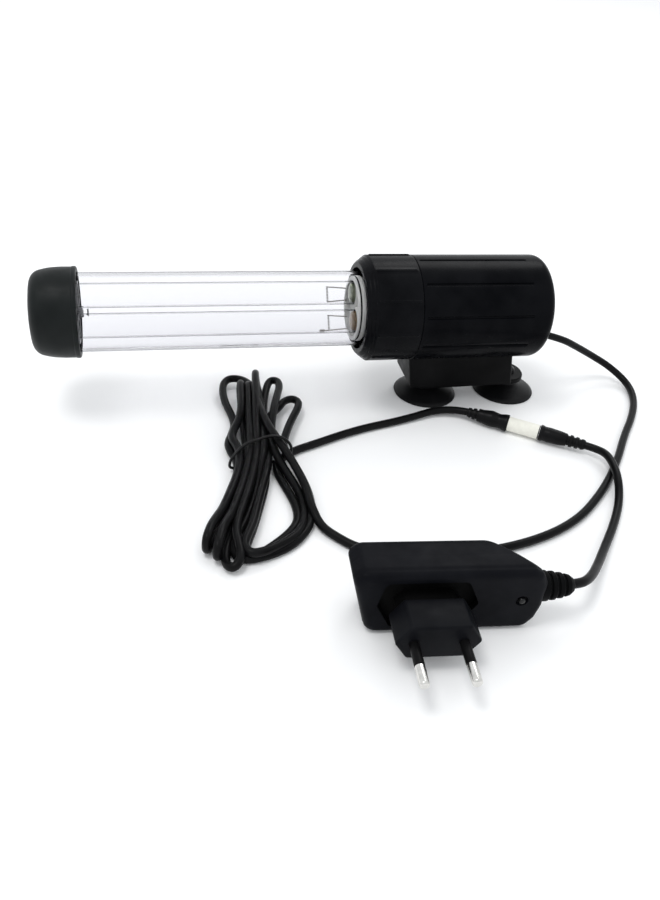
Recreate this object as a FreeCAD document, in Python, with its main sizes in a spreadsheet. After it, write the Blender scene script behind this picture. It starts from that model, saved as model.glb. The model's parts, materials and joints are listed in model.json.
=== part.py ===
import FreeCAD, Part
import math
import os

import Sketcher

# Submersible ultraviolet clarifier lamp on a low-voltage lead, with its wall adapter.
# Frame: lamp axis along X (rubber cap at -X, cable end at +X), the suction cups' underside at z = 0.
# Every length is in millimetres.

V = FreeCAD.Vector
DOC = FreeCAD.newDocument("UvClarifier")
SHEET = DOC.addObject("Spreadsheet::Sheet", "Sizes")
NODES = []


class Dim:
    """A length that keeps its value together with the spreadsheet text that drives it."""

    def __init__(self, value, text=None):
        self.value = float(value)
        self.text = text if text is not None else "%.6g" % value

    @staticmethod
    def of(other):
        return other if isinstance(other, Dim) else Dim(other)

    def __add__(self, other):
        other = Dim.of(other)
        return Dim(self.value + other.value, "(%s + %s)" % (self.text, other.text))

    def __sub__(self, other):
        other = Dim.of(other)
        return Dim(self.value - other.value, "(%s - %s)" % (self.text, other.text))

    def __mul__(self, other):
        other = Dim.of(other)
        return Dim(self.value * other.value, "(%s * %s)" % (self.text, other.text))

    def __neg__(self):
        return Dim(-self.value, "(0 - %s)" % self.text)

    __radd__ = __add__
    __rmul__ = __mul__


SIZES = {
    # lamp axis and glass
    "axis_height": 52.5,
    "glass_radius": 19.0,
    "glass_wall": 1.5,
    "glass_tip": -131.4,
    "glass_mouth": 40.0,
    "glass_corner": 5.0,
    "flange_radius": 21.5,
    "flange_thick": 3.0,
    # rubber end cap
    "cap_tip": -134.5,
    "cap_mouth": -112.5,
    "cap_radius": 21.6,
    "cap_lip": 0.6,
    "cap_lip_long": 2.2,
    "cap_round": 9.0,
    "cap_gap": 0.05,
    # clamp ring
    "ring_front": 25.0,
    "ring_back": 52.8,
    "ring_mouth": 20.8,
    "ring_flat": 23.0,
    "ring_bevel": 4.6,
    "ring_lip": 6.0,
    "ring_bore": 24.0,
    "rib_start": 29.8,
    "rib_width": 1.5,
    "rib_rise": 0.6,
    # rear housing
    "shell_radius": 27.0,
    "neck_radius": 23.93,
    "neck_front": 43.0,
    "neck_bore": 20.5,
    "shell_front": 52.9,
    "shell_back": 125.0,
    "shell_round": 8.0,
    "shell_bore": 24.4,
    "bore_step": 60.0,
    "back_wall": 4.0,
    "groove_start": 54.6,
    "groove_end": 112.6,
    "groove_width": 1.5,
    "groove_deep": 0.8,
    # cable gland
    "gland_height": 35.0,
    "gland_hole": 3.5,
    "gland_tip": 133.0,
    # twin-tube lamp
    "tube_radius": 6.0,
    "tube_wall": 0.8,
    "tube_offset": 7.5,
    "tube_tip": -115.5,
    "tube_root": 20.0,
    "lamp_disc": 16.6,
    "disc_back": 23.0,
    "base_back": 44.0,
    "base_wide": 32.4,
    "base_thick": 17.0,
    "post_back": 62.0,
    "post_wide": 12.0,
    "post_thick": 10.0,
    "lamp_pin_radius": 1.15,
    "lamp_pin_offset": 11.5,
    "lamp_pin_back": 51.0,
    # ballast
    "board_level": 44.6,
    "board_thick": 1.6,
    "board_front": 66.0,
    "board_back": 116.0,
    # bracket and cups
    "plate_low": 9.0,
    "plate_high": 12.0,
    "plate_half": 12.0,
    "saddle_front": 53.4,
    "saddle_back": 112.0,
    "saddle_half": 14.0,
    "cup_front": 70.2,
    "cup_back": 117.1,
    "cup_radius": 17.4,
    "stud_radius": 3.2,
    "stud_gap": 0.05,
    # cords
    "lead_radius": 2.0,
    "wire_radius": 0.5,
    "hank_high": 11.0,
    # inline connector
    "join_x": 103.6,
    "join_y": -41.5,
    "join_z": 4.7,
    # wall adapter
    "box_x": 17.0,
    "box_y": -172.3,
    "box_high": 31.0,
    "box_deep": 21.5,
    "box_left": -30.0,
    "box_right": 47.0,
    "block_reach": 19.0,
    "block_half": 16.6,
    "block_top_half": 11.4,
    "block_low": 7.5,
    "block_high": 23.5,
    "pocket_gap": 3.4,
    "pocket_deep": 4.0,
    "pin_radius": 2.0,
    "pin_core": 1.5,
    "pin_offset": 9.5,
    "pin_level": 15.5,
    "pin_reach": 19.0,
    "pin_cover": 9.5,
    "led_radius": 1.5,
    "led_across": 37.3,
    "led_level": 16.0,
    "boot_level": 17.0,
    "boot_depth": 7.0,
    "boot_tip": 59.0,
}
for row, (alias, value) in enumerate(SIZES.items(), start=1):
    SHEET.set("A%d" % row, alias)
    SHEET.set("B%d" % row, "%g" % value)
    SHEET.setAlias("B%d" % row, alias)
DOC.recompute()
S = {alias: Dim(value, "Sizes.%s" % alias) for alias, value in SIZES.items()}

LAMP_TILT = 36.0  # degrees the twin tubes' plane leans back from upright
RIB_COUNT, RIB_FIRST = 10, 21.0
GROOVE_COUNT, GROOVE_FIRST = 10, 39.0
JOIN_YAW = -33.6
BOX_YAW = -4.8


class Seat:
    """A local frame: an origin driven from the sheet and a turn about Z, in degrees."""

    def __init__(self, x=0, y=0, z=0, yaw=0.0):
        self.origin = [Dim.of(x), Dim.of(y), Dim.of(z)]
        self.yaw = yaw
        self.c, self.s = math.cos(math.radians(yaw)), math.sin(math.radians(yaw))

    def point(self, x, y, z):
        x, y, z = Dim.of(x), Dim.of(y), Dim.of(z)
        ox, oy, oz = self.origin
        if not self.yaw:
            return [ox + x, oy + y, oz + z]
        return [ox + x * self.c - y * self.s, oy + x * self.s + y * self.c, oz + z]

    def turn(self):
        return FreeCAD.Rotation(V(0, 0, 1), self.yaw)


WORLD = Seat()
LAMP = Seat(0, 0, S["axis_height"])
JOIN = Seat(S["join_x"], S["join_y"], S["join_z"], JOIN_YAW)
BOX = Seat(S["box_x"], S["box_y"], 0, BOX_YAW)

AXES = {
    "x": FreeCAD.Rotation(V(0, 1, 0), 90),
    "y": FreeCAD.Rotation(V(1, 0, 0), -90),
    "z": FreeCAD.Rotation()}


def bind(obj, prop, dim):
    obj.setExpression(prop, dim.text)


def seat(obj, where, point, spin=None):
    """Place obj with its local origin at a point of a frame."""
    at = where.point(*point)
    turn = where.turn() if spin is None else where.turn().multiply(spin)
    obj.Placement = FreeCAD.Placement(V(*[d.value for d in at]), turn)
    for letter, dim in zip("xyz", at):
        bind(obj, "Placement.Base." + letter, dim)


def node(obj, name):
    obj.Label = name
    NODES.append(obj)
    return obj


def cylinder(name, radius, length, where, point, axis="x", spin=None):
    obj = DOC.addObject("Part::Cylinder", name)
    bind(obj, "Radius", Dim.of(radius))
    bind(obj, "Height", Dim.of(length))
    turn = AXES[axis] if spin is None else spin.multiply(AXES[axis])
    seat(obj, where, point, turn)
    return obj


def box(name, low, high, where=WORLD, spin=None, base=None):
    """A box between two corners; with a spin, base is its low corner already turned."""
    obj = DOC.addObject("Part::Box", name)
    low, high = [Dim.of(a) for a in low], [Dim.of(a) for a in high]
    for prop, a, b in zip(("Length", "Width", "Height"), low, high):
        bind(obj, prop, b - a)
    seat(obj, where, base or low, spin)
    return obj


def about_axis(degrees):
    """Turn about X that carries +Z towards the viewer's side, -Y."""
    return FreeCAD.Rotation(V(1, 0, 0), degrees)


def ring_point(x, across, out, degrees):
    """A point given across and out from the lamp's axis, turned about it."""
    c, s = math.cos(math.radians(degrees)), math.sin(math.radians(degrees))
    across, out = Dim.of(across), Dim.of(out)
    return [x, across * c - out * s, across * s + out * c]


def spoke(name, start, end, width, inner, outer, degrees):
    """A bar along the lamp's axis standing out from it."""
    start, end, inner, outer = (Dim.of(a) for a in (start, end, inner, outer))
    half = Dim.of(width) * 0.5
    corner = ring_point(start, -half, inner, degrees)
    return box(name, (start, -half, inner), (end, half, outer), LAMP, about_axis(degrees), corner)


def merge(name, parts):
    obj = DOC.addObject("Part::MultiFuse", name)
    obj.Shapes = parts
    return obj


def cut(name, base, tools):
    obj = DOC.addObject("Part::Cut", name)
    obj.Base = base
    obj.Tool = tools[0] if len(tools) == 1 else merge(name + "_tools", tools)
    return obj


def sketch_in(body, role, name):
    sketch = body.newObject("Sketcher::SketchObject", name)
    plane = [f for f in body.Origin.OriginFeatures if f.Role == role][0]
    sketch.AttachmentSupport = (plane, [""])
    sketch.MapMode = "FlatFace"
    return sketch


def outline(sketch, corners):
    """A closed outline, every corner driven from the sheet; (x, y, cx, cy) starts an arc about c."""
    corners = [[Dim.of(a) for a in corner] for corner in corners]
    count = len(corners)
    ends = []
    for i, corner in enumerate(corners):
        a, b = corner, corners[(i + 1) % count]
        p, q = V(a[0].value, a[1].value, 0), V(b[0].value, b[1].value, 0)
        if len(a) == 2:
            sketch.addGeometry(Part.LineSegment(p, q), False)
            ends.append((1, 2))
            continue
        centre = V(a[2].value, a[3].value, 0)
        forward = (p - centre).cross(q - centre).z > 0
        middle = (p - centre) + (q - centre)
        middle.normalize()
        middle = centre + middle * (p - centre).Length
        sketch.addGeometry(Part.Arc(*((p, middle, q) if forward else (q, middle, p))), False)
        ends.append((1, 2) if forward else (2, 1))
    for i in range(count):
        k = (i + 1) % count
        sketch.addConstraint(Sketcher.Constraint("Coincident", i, ends[i][1], k, ends[k][0]))
    for i, corner in enumerate(corners):
        pins = [("DistanceX", ends[i][0], corner[0]), ("DistanceY", ends[i][0], corner[1])]
        if len(corner) == 4:
            pins.append(("DistanceX", 3, corner[2]))
        for kind, spot, dim in pins:
            index = sketch.addConstraint(Sketcher.Constraint(kind, -1, 1, i, spot, dim.value))
            sketch.setExpression("Constraints[%d]" % index, dim.text)


def lathe(name, corners, where=LAMP, point=(0, 0, 0), upright=False, spin=None):
    """A body turned about the frame's X axis, or about Z when upright; corners are (along, radius)."""
    body = DOC.addObject("PartDesign::Body", name)
    sketch = sketch_in(body, "XZ_Plane", name + "_outline")
    if upright:
        corners = [[c[1], c[0]] if len(c) == 2 else [c[1], c[0], c[3], c[2]] for c in corners]
    outline(sketch, corners)
    turn = body.newObject("PartDesign::Revolution", name + "_turn")
    turn.Profile = sketch
    turn.ReferenceAxis = (sketch, ["V_Axis" if upright else "H_Axis"])
    turn.Angle = 360
    sketch.Visibility = False
    seat(body, where, point, spin)
    return body


def slab(name, corners, start, end, where, plane="XZ_Plane", spin=None, point=None):
    """A body padded from an outline; on XZ_Plane it runs from start to end along the frame's Y."""
    start, end = Dim.of(start), Dim.of(end)
    body = DOC.addObject("PartDesign::Body", name)
    sketch = sketch_in(body, plane, name + "_outline")
    outline(sketch, corners)
    pad = body.newObject("PartDesign::Pad", name + "_pad")
    pad.Profile = sketch
    bind(pad, "Length", end - start)
    pad.Reversed = plane == "XZ_Plane"
    sketch.Visibility = False
    if point is None:
        point = {"XZ_Plane": (0, start, 0), "XY_Plane": (0, 0, start), "YZ_Plane": (start, 0, 0)}[plane]
    seat(body, where, point, spin)
    return body


def solid(name, shape):
    obj = DOC.addObject("Part::Feature", name)
    obj.Shape = shape
    return obj


def route(name, points, radius, flex):
    """A cord: straight runs joined by tangent arcs, swept with a round section."""
    points = [V(*p) for p in points]
    edges, at, tight = [], points[0], 1e9
    for before, corner, after in zip(points, points[1:], points[2:]):
        into, out = corner - before, after - corner
        half = into.getAngle(out) / 2
        reach = 0.45 * min(into.Length, out.Length)
        into.normalize()
        out.normalize()
        start, end = corner - into * reach, corner + out * reach
        bend = reach / math.tan(half)
        centre_way = out - into
        centre_way.normalize()
        centre = corner + centre_way * (bend / math.cos(half))
        middle = centre - centre_way * bend
        edges.append(Part.LineSegment(at, start).toShape())
        edges.append(Part.Arc(start, middle, end).toShape())
        tight = min(tight, bend)
        at = end
    edges.append(Part.LineSegment(at, points[-1]).toShape())
    wire = Part.Wire(edges)
    section = Part.Wire([Part.Circle(points[0], points[1] - points[0], radius).toShape()])
    shape = wire.makePipeShell([section], True, False)
    wanted = math.pi * radius * radius * wire.Length
    print("%s: length %.1f mm, tightest bend %.1f mm (%.1f diameters), volume ratio %.4f" % (
        name, wire.Length, tight, tight / radius / 2, shape.Volume / wanted))
    if tight < flex * 2 * radius:
        print("   tighter than", flex, "diameters")
    return shape


# ---------------------------------------------------------------- glass sleeve and its seals
r, wall, corner = S["glass_radius"], S["glass_wall"], S["glass_corner"]
tip, mouth = S["glass_tip"], S["glass_mouth"]
flange_front = mouth - S["flange_thick"]
node(lathe("glass_sleeve", [
    (tip, 0), (tip + wall, 0), (tip + wall, r - corner, tip + corner, r - corner), (tip + corner, r - wall),
    (mouth, r - wall), (mouth, S["flange_radius"]), (flange_front, S["flange_radius"]), (flange_front, r),
    (tip + corner, r, tip + corner, r - corner), (tip, r - corner)]), "glass_sleeve")

gasket_front = S["ring_front"] + S["ring_lip"] + 0.05
node(lathe("sleeve_gasket", [
    (gasket_front, r), (gasket_front, S["ring_bore"] - 0.5), (flange_front, S["ring_bore"] - 0.5),
    (flange_front, r)]), "sleeve_gasket")
node(lathe("sleeve_seal", [
    (mouth, r - 0.8), (mouth, 22.6), (S["neck_front"] - 0.05, 22.6), (S["neck_front"] - 0.05, r - 0.8)]),
    "sleeve_seal")

# ---------------------------------------------------------------- rubber end cap
tip, mouth, outer, curve = S["cap_tip"], S["cap_mouth"], S["cap_radius"], S["cap_round"]
bore, floor = S["glass_radius"] + S["cap_gap"], S["glass_tip"] - 0.1
lip = mouth - S["cap_lip_long"]
node(lathe("end_cap", [
    (tip, 0), (floor, 0), (floor, bore), (mouth, bore), (mouth, outer + S["cap_lip"]),
    (lip, outer + S["cap_lip"]), (lip, outer), (tip + curve, outer, tip + curve, outer - curve),
    (tip, outer - curve)]), "end_cap")

# ---------------------------------------------------------------- clamp ring with its ribs
front, back, outer = S["ring_front"], S["ring_back"], S["shell_radius"]
ring = lathe("ring_turned", [
    (front, S["ring_mouth"]), (front + S["ring_lip"], S["ring_mouth"]),
    (front + S["ring_lip"], S["ring_bore"]), (back, S["ring_bore"]), (back, outer),
    (front + S["ring_bevel"], outer), (front, S["ring_flat"])])
ribs = [spoke("ring_rib_%d" % k, S["rib_start"], back - 0.3, S["rib_width"], outer - 0.6,
              outer + S["rib_rise"], RIB_FIRST + 360.0 / RIB_COUNT * k) for k in range(RIB_COUNT)]
node(merge("clamp_ring", [ring] + ribs), "clamp_ring")

# ---------------------------------------------------------------- rear housing with its grooves
outer, curve, end = S["shell_radius"], S["shell_round"], S["shell_back"]
shell = lathe("shell_turned", [
    (S["neck_front"], S["neck_bore"]), (S["bore_step"], S["neck_bore"]), (S["bore_step"], S["shell_bore"]),
    (end - S["back_wall"] - 2, S["shell_bore"]), (end - S["back_wall"], S["shell_bore"] - 2),
    (end - S["back_wall"], 0), (end, 0), (end, outer - curve, end - curve, outer - curve),
    (end - curve, outer), (S["shell_front"], outer), (S["shell_front"], S["neck_radius"]),
    (S["neck_front"], S["neck_radius"])])
grooves = [spoke("shell_groove_%d" % k, S["groove_start"], S["groove_end"], S["groove_width"],
                 outer - S["groove_deep"], outer + 1, GROOVE_FIRST + 360.0 / GROOVE_COUNT * k)
           for k in range(GROOVE_COUNT)]
gland_hole = cylinder("gland_hole", S["gland_hole"], S["back_wall"] + 4, WORLD,
                      (end - S["back_wall"] - 2, 0, S["gland_height"]))
node(cut("rear_housing", shell, grooves + [gland_hole]), "rear_housing")

gland_tip = S["gland_tip"]
gland_collar, gland_waist = 4.6, S["gland_hole"] - 0.02
node(lathe("cable_gland", [
    (end - 6, 0), (end - 6, gland_collar), (end - 4, gland_collar), (end - 4, gland_waist),
    (end, gland_waist), (end, gland_collar), (end + 2, gland_collar), (gland_tip, 2.6), (gland_tip, 0)],
    WORLD, (0, 0, S["gland_height"])), "cable_gland")

# ---------------------------------------------------------------- twin-tube lamp
TILT = about_axis(-LAMP_TILT)


def tube_axis(side):
    """Across and height of one tube's axis from the lamp's axis."""
    return ring_point(0, 0, S["tube_offset"] * side, -LAMP_TILT)


r, wall, tip, root = S["tube_radius"], S["tube_wall"], S["tube_tip"], S["tube_root"]
tubes = []
for side, name in ((1, "upper"), (-1, "lower")):
    tubes.append(lathe("lamp_tube_" + name, [
        (tip, 0), (tip + wall, 0), (tip + wall, 1, tip + r, 1), (tip + r, r - wall), (root, r - wall),
        (root, r), (tip + r, r, tip + r, 1), (tip, 1)], LAMP, tube_axis(side)))
bridge = cylinder("lamp_bridge", 2.4, S["tube_offset"] * 2 - r * 2 + 1.2, LAMP,
                  ring_point(tip + 5.4, 0, -(S["tube_offset"] - r + 0.6), -LAMP_TILT), "z", TILT)
node(merge("lamp_tubes", tubes + [bridge]), "lamp_tubes")

filaments = []
lead_spread, lead_reach = 3.8, 10.0
for side in (1, -1):
    for out in (-lead_spread, lead_spread):
        point = ring_point(root - lead_reach, 0, S["tube_offset"] * side + out, -LAMP_TILT)
        filaments.append(cylinder("filament_lead_%d_%d" % (side, out * 10), 0.4, lead_reach, LAMP, point))
    coil = ring_point(root - lead_reach, 0, S["tube_offset"] * side - lead_spread, -LAMP_TILT)
    filaments.append(cylinder("filament_coil_%d" % side, 0.6, lead_spread * 2, LAMP, coil, "z", TILT))
    stem = tube_axis(side)
    filaments.append(cylinder("filament_stem_%d" % side, r - wall, 3.0, LAMP,
                              [root - 3.0] + stem[1:]))
node(merge("lamp_filaments", filaments), "lamp_filaments")

disc = cylinder("lamp_disc", S["lamp_disc"], S["disc_back"] - root, LAMP, (root, 0, 0))
half_thick, half_wide = S["base_thick"] * 0.5, S["base_wide"] * 0.5
heel_half = half_wide - 2
heel = box("lamp_heel", (S["disc_back"], -half_thick, -heel_half), (S["base_back"], half_thick, heel_half),
           LAMP, TILT, ring_point(S["disc_back"], -half_thick, -heel_half, -LAMP_TILT))
post_thick, post_wide = S["post_thick"] * 0.5, S["post_wide"] * 0.5
post = box("lamp_post", (S["base_back"], -post_thick, -post_wide),
           (S["post_back"], post_thick, post_wide), LAMP, TILT,
           ring_point(S["base_back"], -post_thick, -post_wide, -LAMP_TILT))
node(merge("lamp_base", [disc, heel, post]), "lamp_base")
node(merge("lamp_pins", [
    cylinder("lamp_pin_%d" % side, S["lamp_pin_radius"], S["lamp_pin_back"] - S["base_back"], LAMP,
             ring_point(S["base_back"], 0, S["lamp_pin_offset"] * side, -LAMP_TILT)) for side in (1, -1)]),
    "lamp_pins")

# end support that keeps the tubes centred in the glass
clip_start, clip_long = tip + 0.3, 2.6
web_half, web_thick = 4.2, 7.0
claw_half, claw_inner, claw_long = 1.6, 2.7, 2.0
hoops = [cylinder("clip_hoop_%d" % side, r + 1.6, clip_long, LAMP,
                  ring_point(clip_start, 0, S["tube_offset"] * side, -LAMP_TILT)) for side in (1, -1)]
web = box("clip_web", (clip_start, -web_half, -web_thick), (clip_start + clip_long, web_half, web_thick),
          LAMP, TILT, ring_point(clip_start, -web_half, -web_thick, -LAMP_TILT))
claws = [box("clip_claw_%d" % side, (clip_start + 1, 0, -claw_half),
             (clip_start + clip_long + claw_long, web_half - claw_inner, claw_half), LAMP, TILT,
             ring_point(clip_start + 1, claw_inner if side > 0 else -web_half, -claw_half, -LAMP_TILT))
         for side in (1, -1)]
tube_room = [cylinder("clip_room_%d" % side, r + 0.02, clip_long + 1, LAMP,
                      ring_point(clip_start - 0.5, 0, S["tube_offset"] * side, -LAMP_TILT))
             for side in (1, -1)]
node(cut("lamp_clip", merge("clip_body", hoops + [web] + claws), tube_room), "lamp_clip")

# ---------------------------------------------------------------- lamp socket and its contacts
socket_front = S["base_back"] + 0.3
socket_radius, contact_radius = S["neck_bore"] - 0.02, S["lamp_pin_radius"] + 0.35
contact_front, contact_long = S["lamp_pin_back"] + 1, 10
socket = cylinder("socket_round", socket_radius, S["bore_step"] - socket_front, LAMP, (socket_front, 0, 0))
well_thick, well_wide = post_thick + 0.4, post_wide + 0.4
well = box("socket_well", (socket_front - 1, -well_thick, -well_wide),
           (S["post_back"] + 1, well_thick, well_wide), LAMP, TILT,
           ring_point(socket_front - 1, -well_thick, -well_wide, -LAMP_TILT))
pin_holes = [cylinder("socket_hole_%d" % side, contact_radius, 30, LAMP,
                      ring_point(socket_front - 1, 0, S["lamp_pin_offset"] * side, -LAMP_TILT))
             for side in (1, -1)]
node(cut("lamp_socket", socket, [well] + pin_holes), "lamp_socket")
node(merge("socket_contacts", [
    cylinder("contact_%d" % side, contact_radius, contact_long, LAMP,
             ring_point(contact_front, 0, S["lamp_pin_offset"] * side, -LAMP_TILT)) for side in (1, -1)]),
    "socket_contacts")

# ---------------------------------------------------------------- ballast
level, top = S["board_level"], S["board_level"] + S["board_thick"]
board_half = 22.6
node(box("ballast_board", (S["board_front"], -board_half, level), (S["board_back"], board_half, top)),
     "ballast_board")
node(merge("ballast_choke", [
    box("choke_core", (72, -9, top), (88, 7, top + 13)),
    box("choke_winding", (70, -6, top + 2.5), (90, 4, top + 10.5))]), "ballast_choke")
node(merge("ballast_capacitors", [
    cylinder("capacitor_tall", 5, 14, WORLD, (98, -8, top), "z"),
    cylinder("capacitor_wide", 4, 11, WORLD, (108, 6, top), "z"),
    box("capacitor_film", (94, 6, top), (100, 15, top + 9))]), "ballast_capacitors")
transistor_thick, transistor_wide, transistor_high = 4, 8, 9
node(merge("ballast_transistors", [
    box("transistor_%d_%d" % (x, y), (x, y, top),
        (x + transistor_thick, y + transistor_wide, top + transistor_high))
    for x, y in ((71, 11), (79, 11), (106, -16))]), "ballast_transistors")

# ---------------------------------------------------------------- bracket with its two suction cups
low, high, half = S["plate_low"], S["plate_high"], S["plate_half"]
plate = box("bracket_plate", (S["cup_front"] - 12, -half, low), (S["cup_back"] + 2, half, high))
plate_end = cylinder("bracket_end", 9.0, high - low, WORLD, (S["cup_back"], 0, low), "z")
saddle_half = S["saddle_half"]
saddle = slab("saddle_block", [
    (S["saddle_front"] + 3, high - 0.1), (S["saddle_back"] + 3, high - 0.1), (S["saddle_back"], 31.0),
    (S["saddle_front"], 31.0)], -saddle_half, saddle_half, WORLD)
stud_holes = [cylinder("stud_hole_" + side, S["stud_radius"] + S["stud_gap"], 6, WORLD,
                       (S["cup_" + side], 0, low - 1), "z") for side in ("front", "back")]
head_room = [cylinder("head_room_" + side, 6.0, 5.0, WORLD, (S["cup_" + side], 0, high), "z")
             for side in ("front", "back")]
rest = cylinder("saddle_rest", S["shell_radius"], 80, LAMP, (S["saddle_front"] - 10, 0, 0))
node(cut("bracket", merge("bracket_body", [plate, plate_end, saddle]), stud_holes + head_room + [rest]),
     "bracket")

rim, stud, gap = S["cup_radius"], S["stud_radius"], S["stud_gap"]
for side in ("front", "back"):
    node(lathe("suction_cup_" + side, [
        (2.4, 0), (1.9, 9), (0, rim - 1.6), (0, rim), (0.9, rim), (3.4, 12.5), (5.6, 6.4),
        (low - gap, 5.4), (low - gap, stud), (high + gap, stud), (high + gap, 4.6), (high + 1.6, 4.6),
        (high + 2.8, 3.2), (high + 2.8, 0)],
        WORLD, (S["cup_" + side], 0, 0), upright=True), "suction_cup_" + side)

# ---------------------------------------------------------------- inline connector
tail = -22.0
node(lathe("jack_body", [
    (tail, 0), (tail, 2.5), (tail + 1.8, 2.7), (tail + 1.8, 2.2), (tail + 2.8, 2.2), (tail + 2.8, 3.0),
    (tail + 4.6, 3.2), (tail + 4.6, 2.4), (tail + 5.6, 2.4), (tail + 5.6, 3.5), (tail + 8, 3.6),
    (-9, 4.4), (-5, 3.7), (-1.5, 4.5), (0, 4.6), (0, 3.55), (16.8, 3.55), (16.8, 2.85), (5, 2.85),
    (5, 0)], JOIN),
    "jack_body")
node(lathe("jack_contact", [(5, 0), (5, 1.0), (15, 1.0), (15.5, 0.5), (15.5, 0)], JOIN), "jack_contact")
node(lathe("jack_label", [(0.2, 3.56), (0.2, 3.75), (16.4, 3.75), (16.4, 3.56)], JOIN), "jack_label")
node(lathe("plug_body", [
    (17, 0), (17, 4.2), (20, 4.1), (28, 3.3), (28.6, 3.3), (28.6, 2.5), (29.8, 2.5), (29.8, 3.1),
    (32, 3.0), (32, 2.3), (33.2, 2.3), (33.2, 2.8), (35.2, 2.7), (35.2, 2.1), (38, 2.0), (38, 0)],
    JOIN), "plug_body")
node(lathe("plug_barrel", [(7, 1.1), (7, 2.75), (17, 2.75), (17, 1.1)], JOIN), "plug_barrel")

# ---------------------------------------------------------------- wall adapter
high, deep, left, right = S["box_high"], S["box_deep"], S["box_left"], S["box_right"]
half_deep = deep * 0.5
face = [(left + 9, 0), (right - 5, 0), (right - 1.5, 5), (right, 12), (right, 24), (right - 2.5, 29),
        (right - 6, high), (left + 3.5, high), (left, high - 3.5), (left + 6.5, 2.5)]
# the plan view's back right corner falls away to the cord in three flats: across, depth, angle
FLATS = ((25.0, 21.6, 27.6), (36.5, 15.6, 42.7), (43.0, 9.6, 57.5))


def corner_off(name, shape, wall=0.0):
    """Shape with its back right corner cut away, leaving a wall inside the flats."""
    tools = []
    for k, (across, depth, degrees) in enumerate(FLATS):
        c, s = math.cos(math.radians(degrees)), math.sin(math.radians(degrees))
        base = (across - wall * s - 30 * c, depth - wall * c + 30 * s, -2)
        spin = FreeCAD.Rotation(V(0, 0, 1), -degrees)
        tools.append(box("%s_flat_%d" % (name, k), (0, 0, 0), (80, 40, 40), BOX, spin, base))
    return cut(name, shape, tools)


front_shell = corner_off("front_tapered", slab("front_block", face, 0, half_deep - 0.05, BOX))
back_shell = corner_off("back_tapered", slab("back_block", face, half_deep + 0.05, deep, BOX))
room = corner_off("room_tapered", box("adapter_room", (left + 9, S["pocket_deep"] + 2, 2.5),
                                      (right - 3, deep - 2, high - 2.5), BOX), 2.0)


def hexagon(grow):
    """The plug block's outline, grown all round."""
    wide, narrow = S["block_half"] + grow, S["block_top_half"] + grow * 0.6
    bottom, top = S["block_low"] - grow, S["block_high"] + grow
    middle = S["pin_level"]
    return [(-narrow, bottom), (narrow, bottom), (wide, middle),
            (narrow, top), (-narrow, top), (-wide, middle)]


pocket = slab("pocket_shape", hexagon(S["pocket_gap"]), -1, S["pocket_deep"], BOX)
led_hole = cylinder("led_hole", S["led_radius"] + 0.02, 10, BOX,
                    (S["led_across"], -1, S["led_level"]), "y")
node(cut("adapter_front", front_shell, [pocket, led_hole, room]),
     "adapter_front")
node(cut("adapter_back", back_shell, [room]), "adapter_back")

level, core_radius = S["pin_level"], S["pin_core"]
reach = -S["block_reach"]
cover_end, pin_tip = reach - S["pin_cover"], reach - S["pin_reach"]
block = merge("plug_block_shape", [
    slab("plug_block_head", hexagon(0), reach, 0, BOX),
    slab("plug_block_neck", hexagon(-2.5), -0.5, S["pocket_deep"], BOX)])
core_holes = [cylinder("core_hole_%d" % side, core_radius + 0.02, 8, BOX,
                       (S["pin_offset"] * side, reach - 1, level), "y") for side in (1, -1)]
node(cut("plug_block", block, core_holes), "plug_block")
pins, covers = [], []
for side in (1, -1):
    across = S["pin_offset"] * side
    pins.append(cylinder("pin_core_%d" % side, core_radius, S["pin_cover"] + 7, BOX,
                         (across, cover_end, level), "y"))
    pins.append(cylinder("pin_end_%d" % side, S["pin_radius"], S["pin_reach"] - S["pin_cover"] - 1, BOX,
                         (across, pin_tip + 1, level), "y"))
    nose = DOC.addObject("Part::Cone", "pin_nose_%d" % side)
    bind(nose, "Radius1", S["pin_radius"] - 0.8)
    bind(nose, "Radius2", S["pin_radius"])
    nose.Height = 1
    seat(nose, BOX, (across, pin_tip, level), AXES["y"])
    pins.append(nose)
    cover = cylinder("cover_outer_%d" % side, S["pin_radius"], S["pin_cover"], BOX,
                     (across, cover_end, level), "y")
    core_room = cylinder("cover_inner_%d" % side, core_radius + 0.02, S["pin_cover"] + 2, BOX,
                         (across, cover_end - 1, level), "y")
    covers.append(cut("pin_cover_%d" % side, cover, [core_room]))
node(merge("plug_pins", pins), "plug_pins")
node(merge("pin_covers", covers), "pin_covers")
node(cylinder("led_lens", S["led_radius"], 6.5, BOX, (S["led_across"], -0.5, S["led_level"]), "y"),
     "led_lens")

boot_tip = S["boot_tip"]
boot = [(right - 9, 0), (right - 9, 6.0), (right - 0.1, 6.2)]
for start, collar, waist in ((0, 6.2, 4.6), (3.2, 6.0, 4.3), (6.4, 5.7, 4.0)):
    boot += [(right + start, collar), (right + start + 2, collar),
             (right + start + 2, waist), (right + start + 3.2, waist)]
boot += [(right + 9.6, 5.3), (boot_tip - 0.8, 5.0), (boot_tip, 4.2), (boot_tip, 0)]
boot_seat = corner_off("boot_seat", slab("boot_seat_block", face, 0, deep, BOX), -0.02)
boot_turned = lathe("boot_turned", boot, BOX, (0, S["boot_depth"], S["boot_level"]))
node(cut("adapter_boot", boot_turned, [boot_seat]), "adapter_boot")

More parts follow.
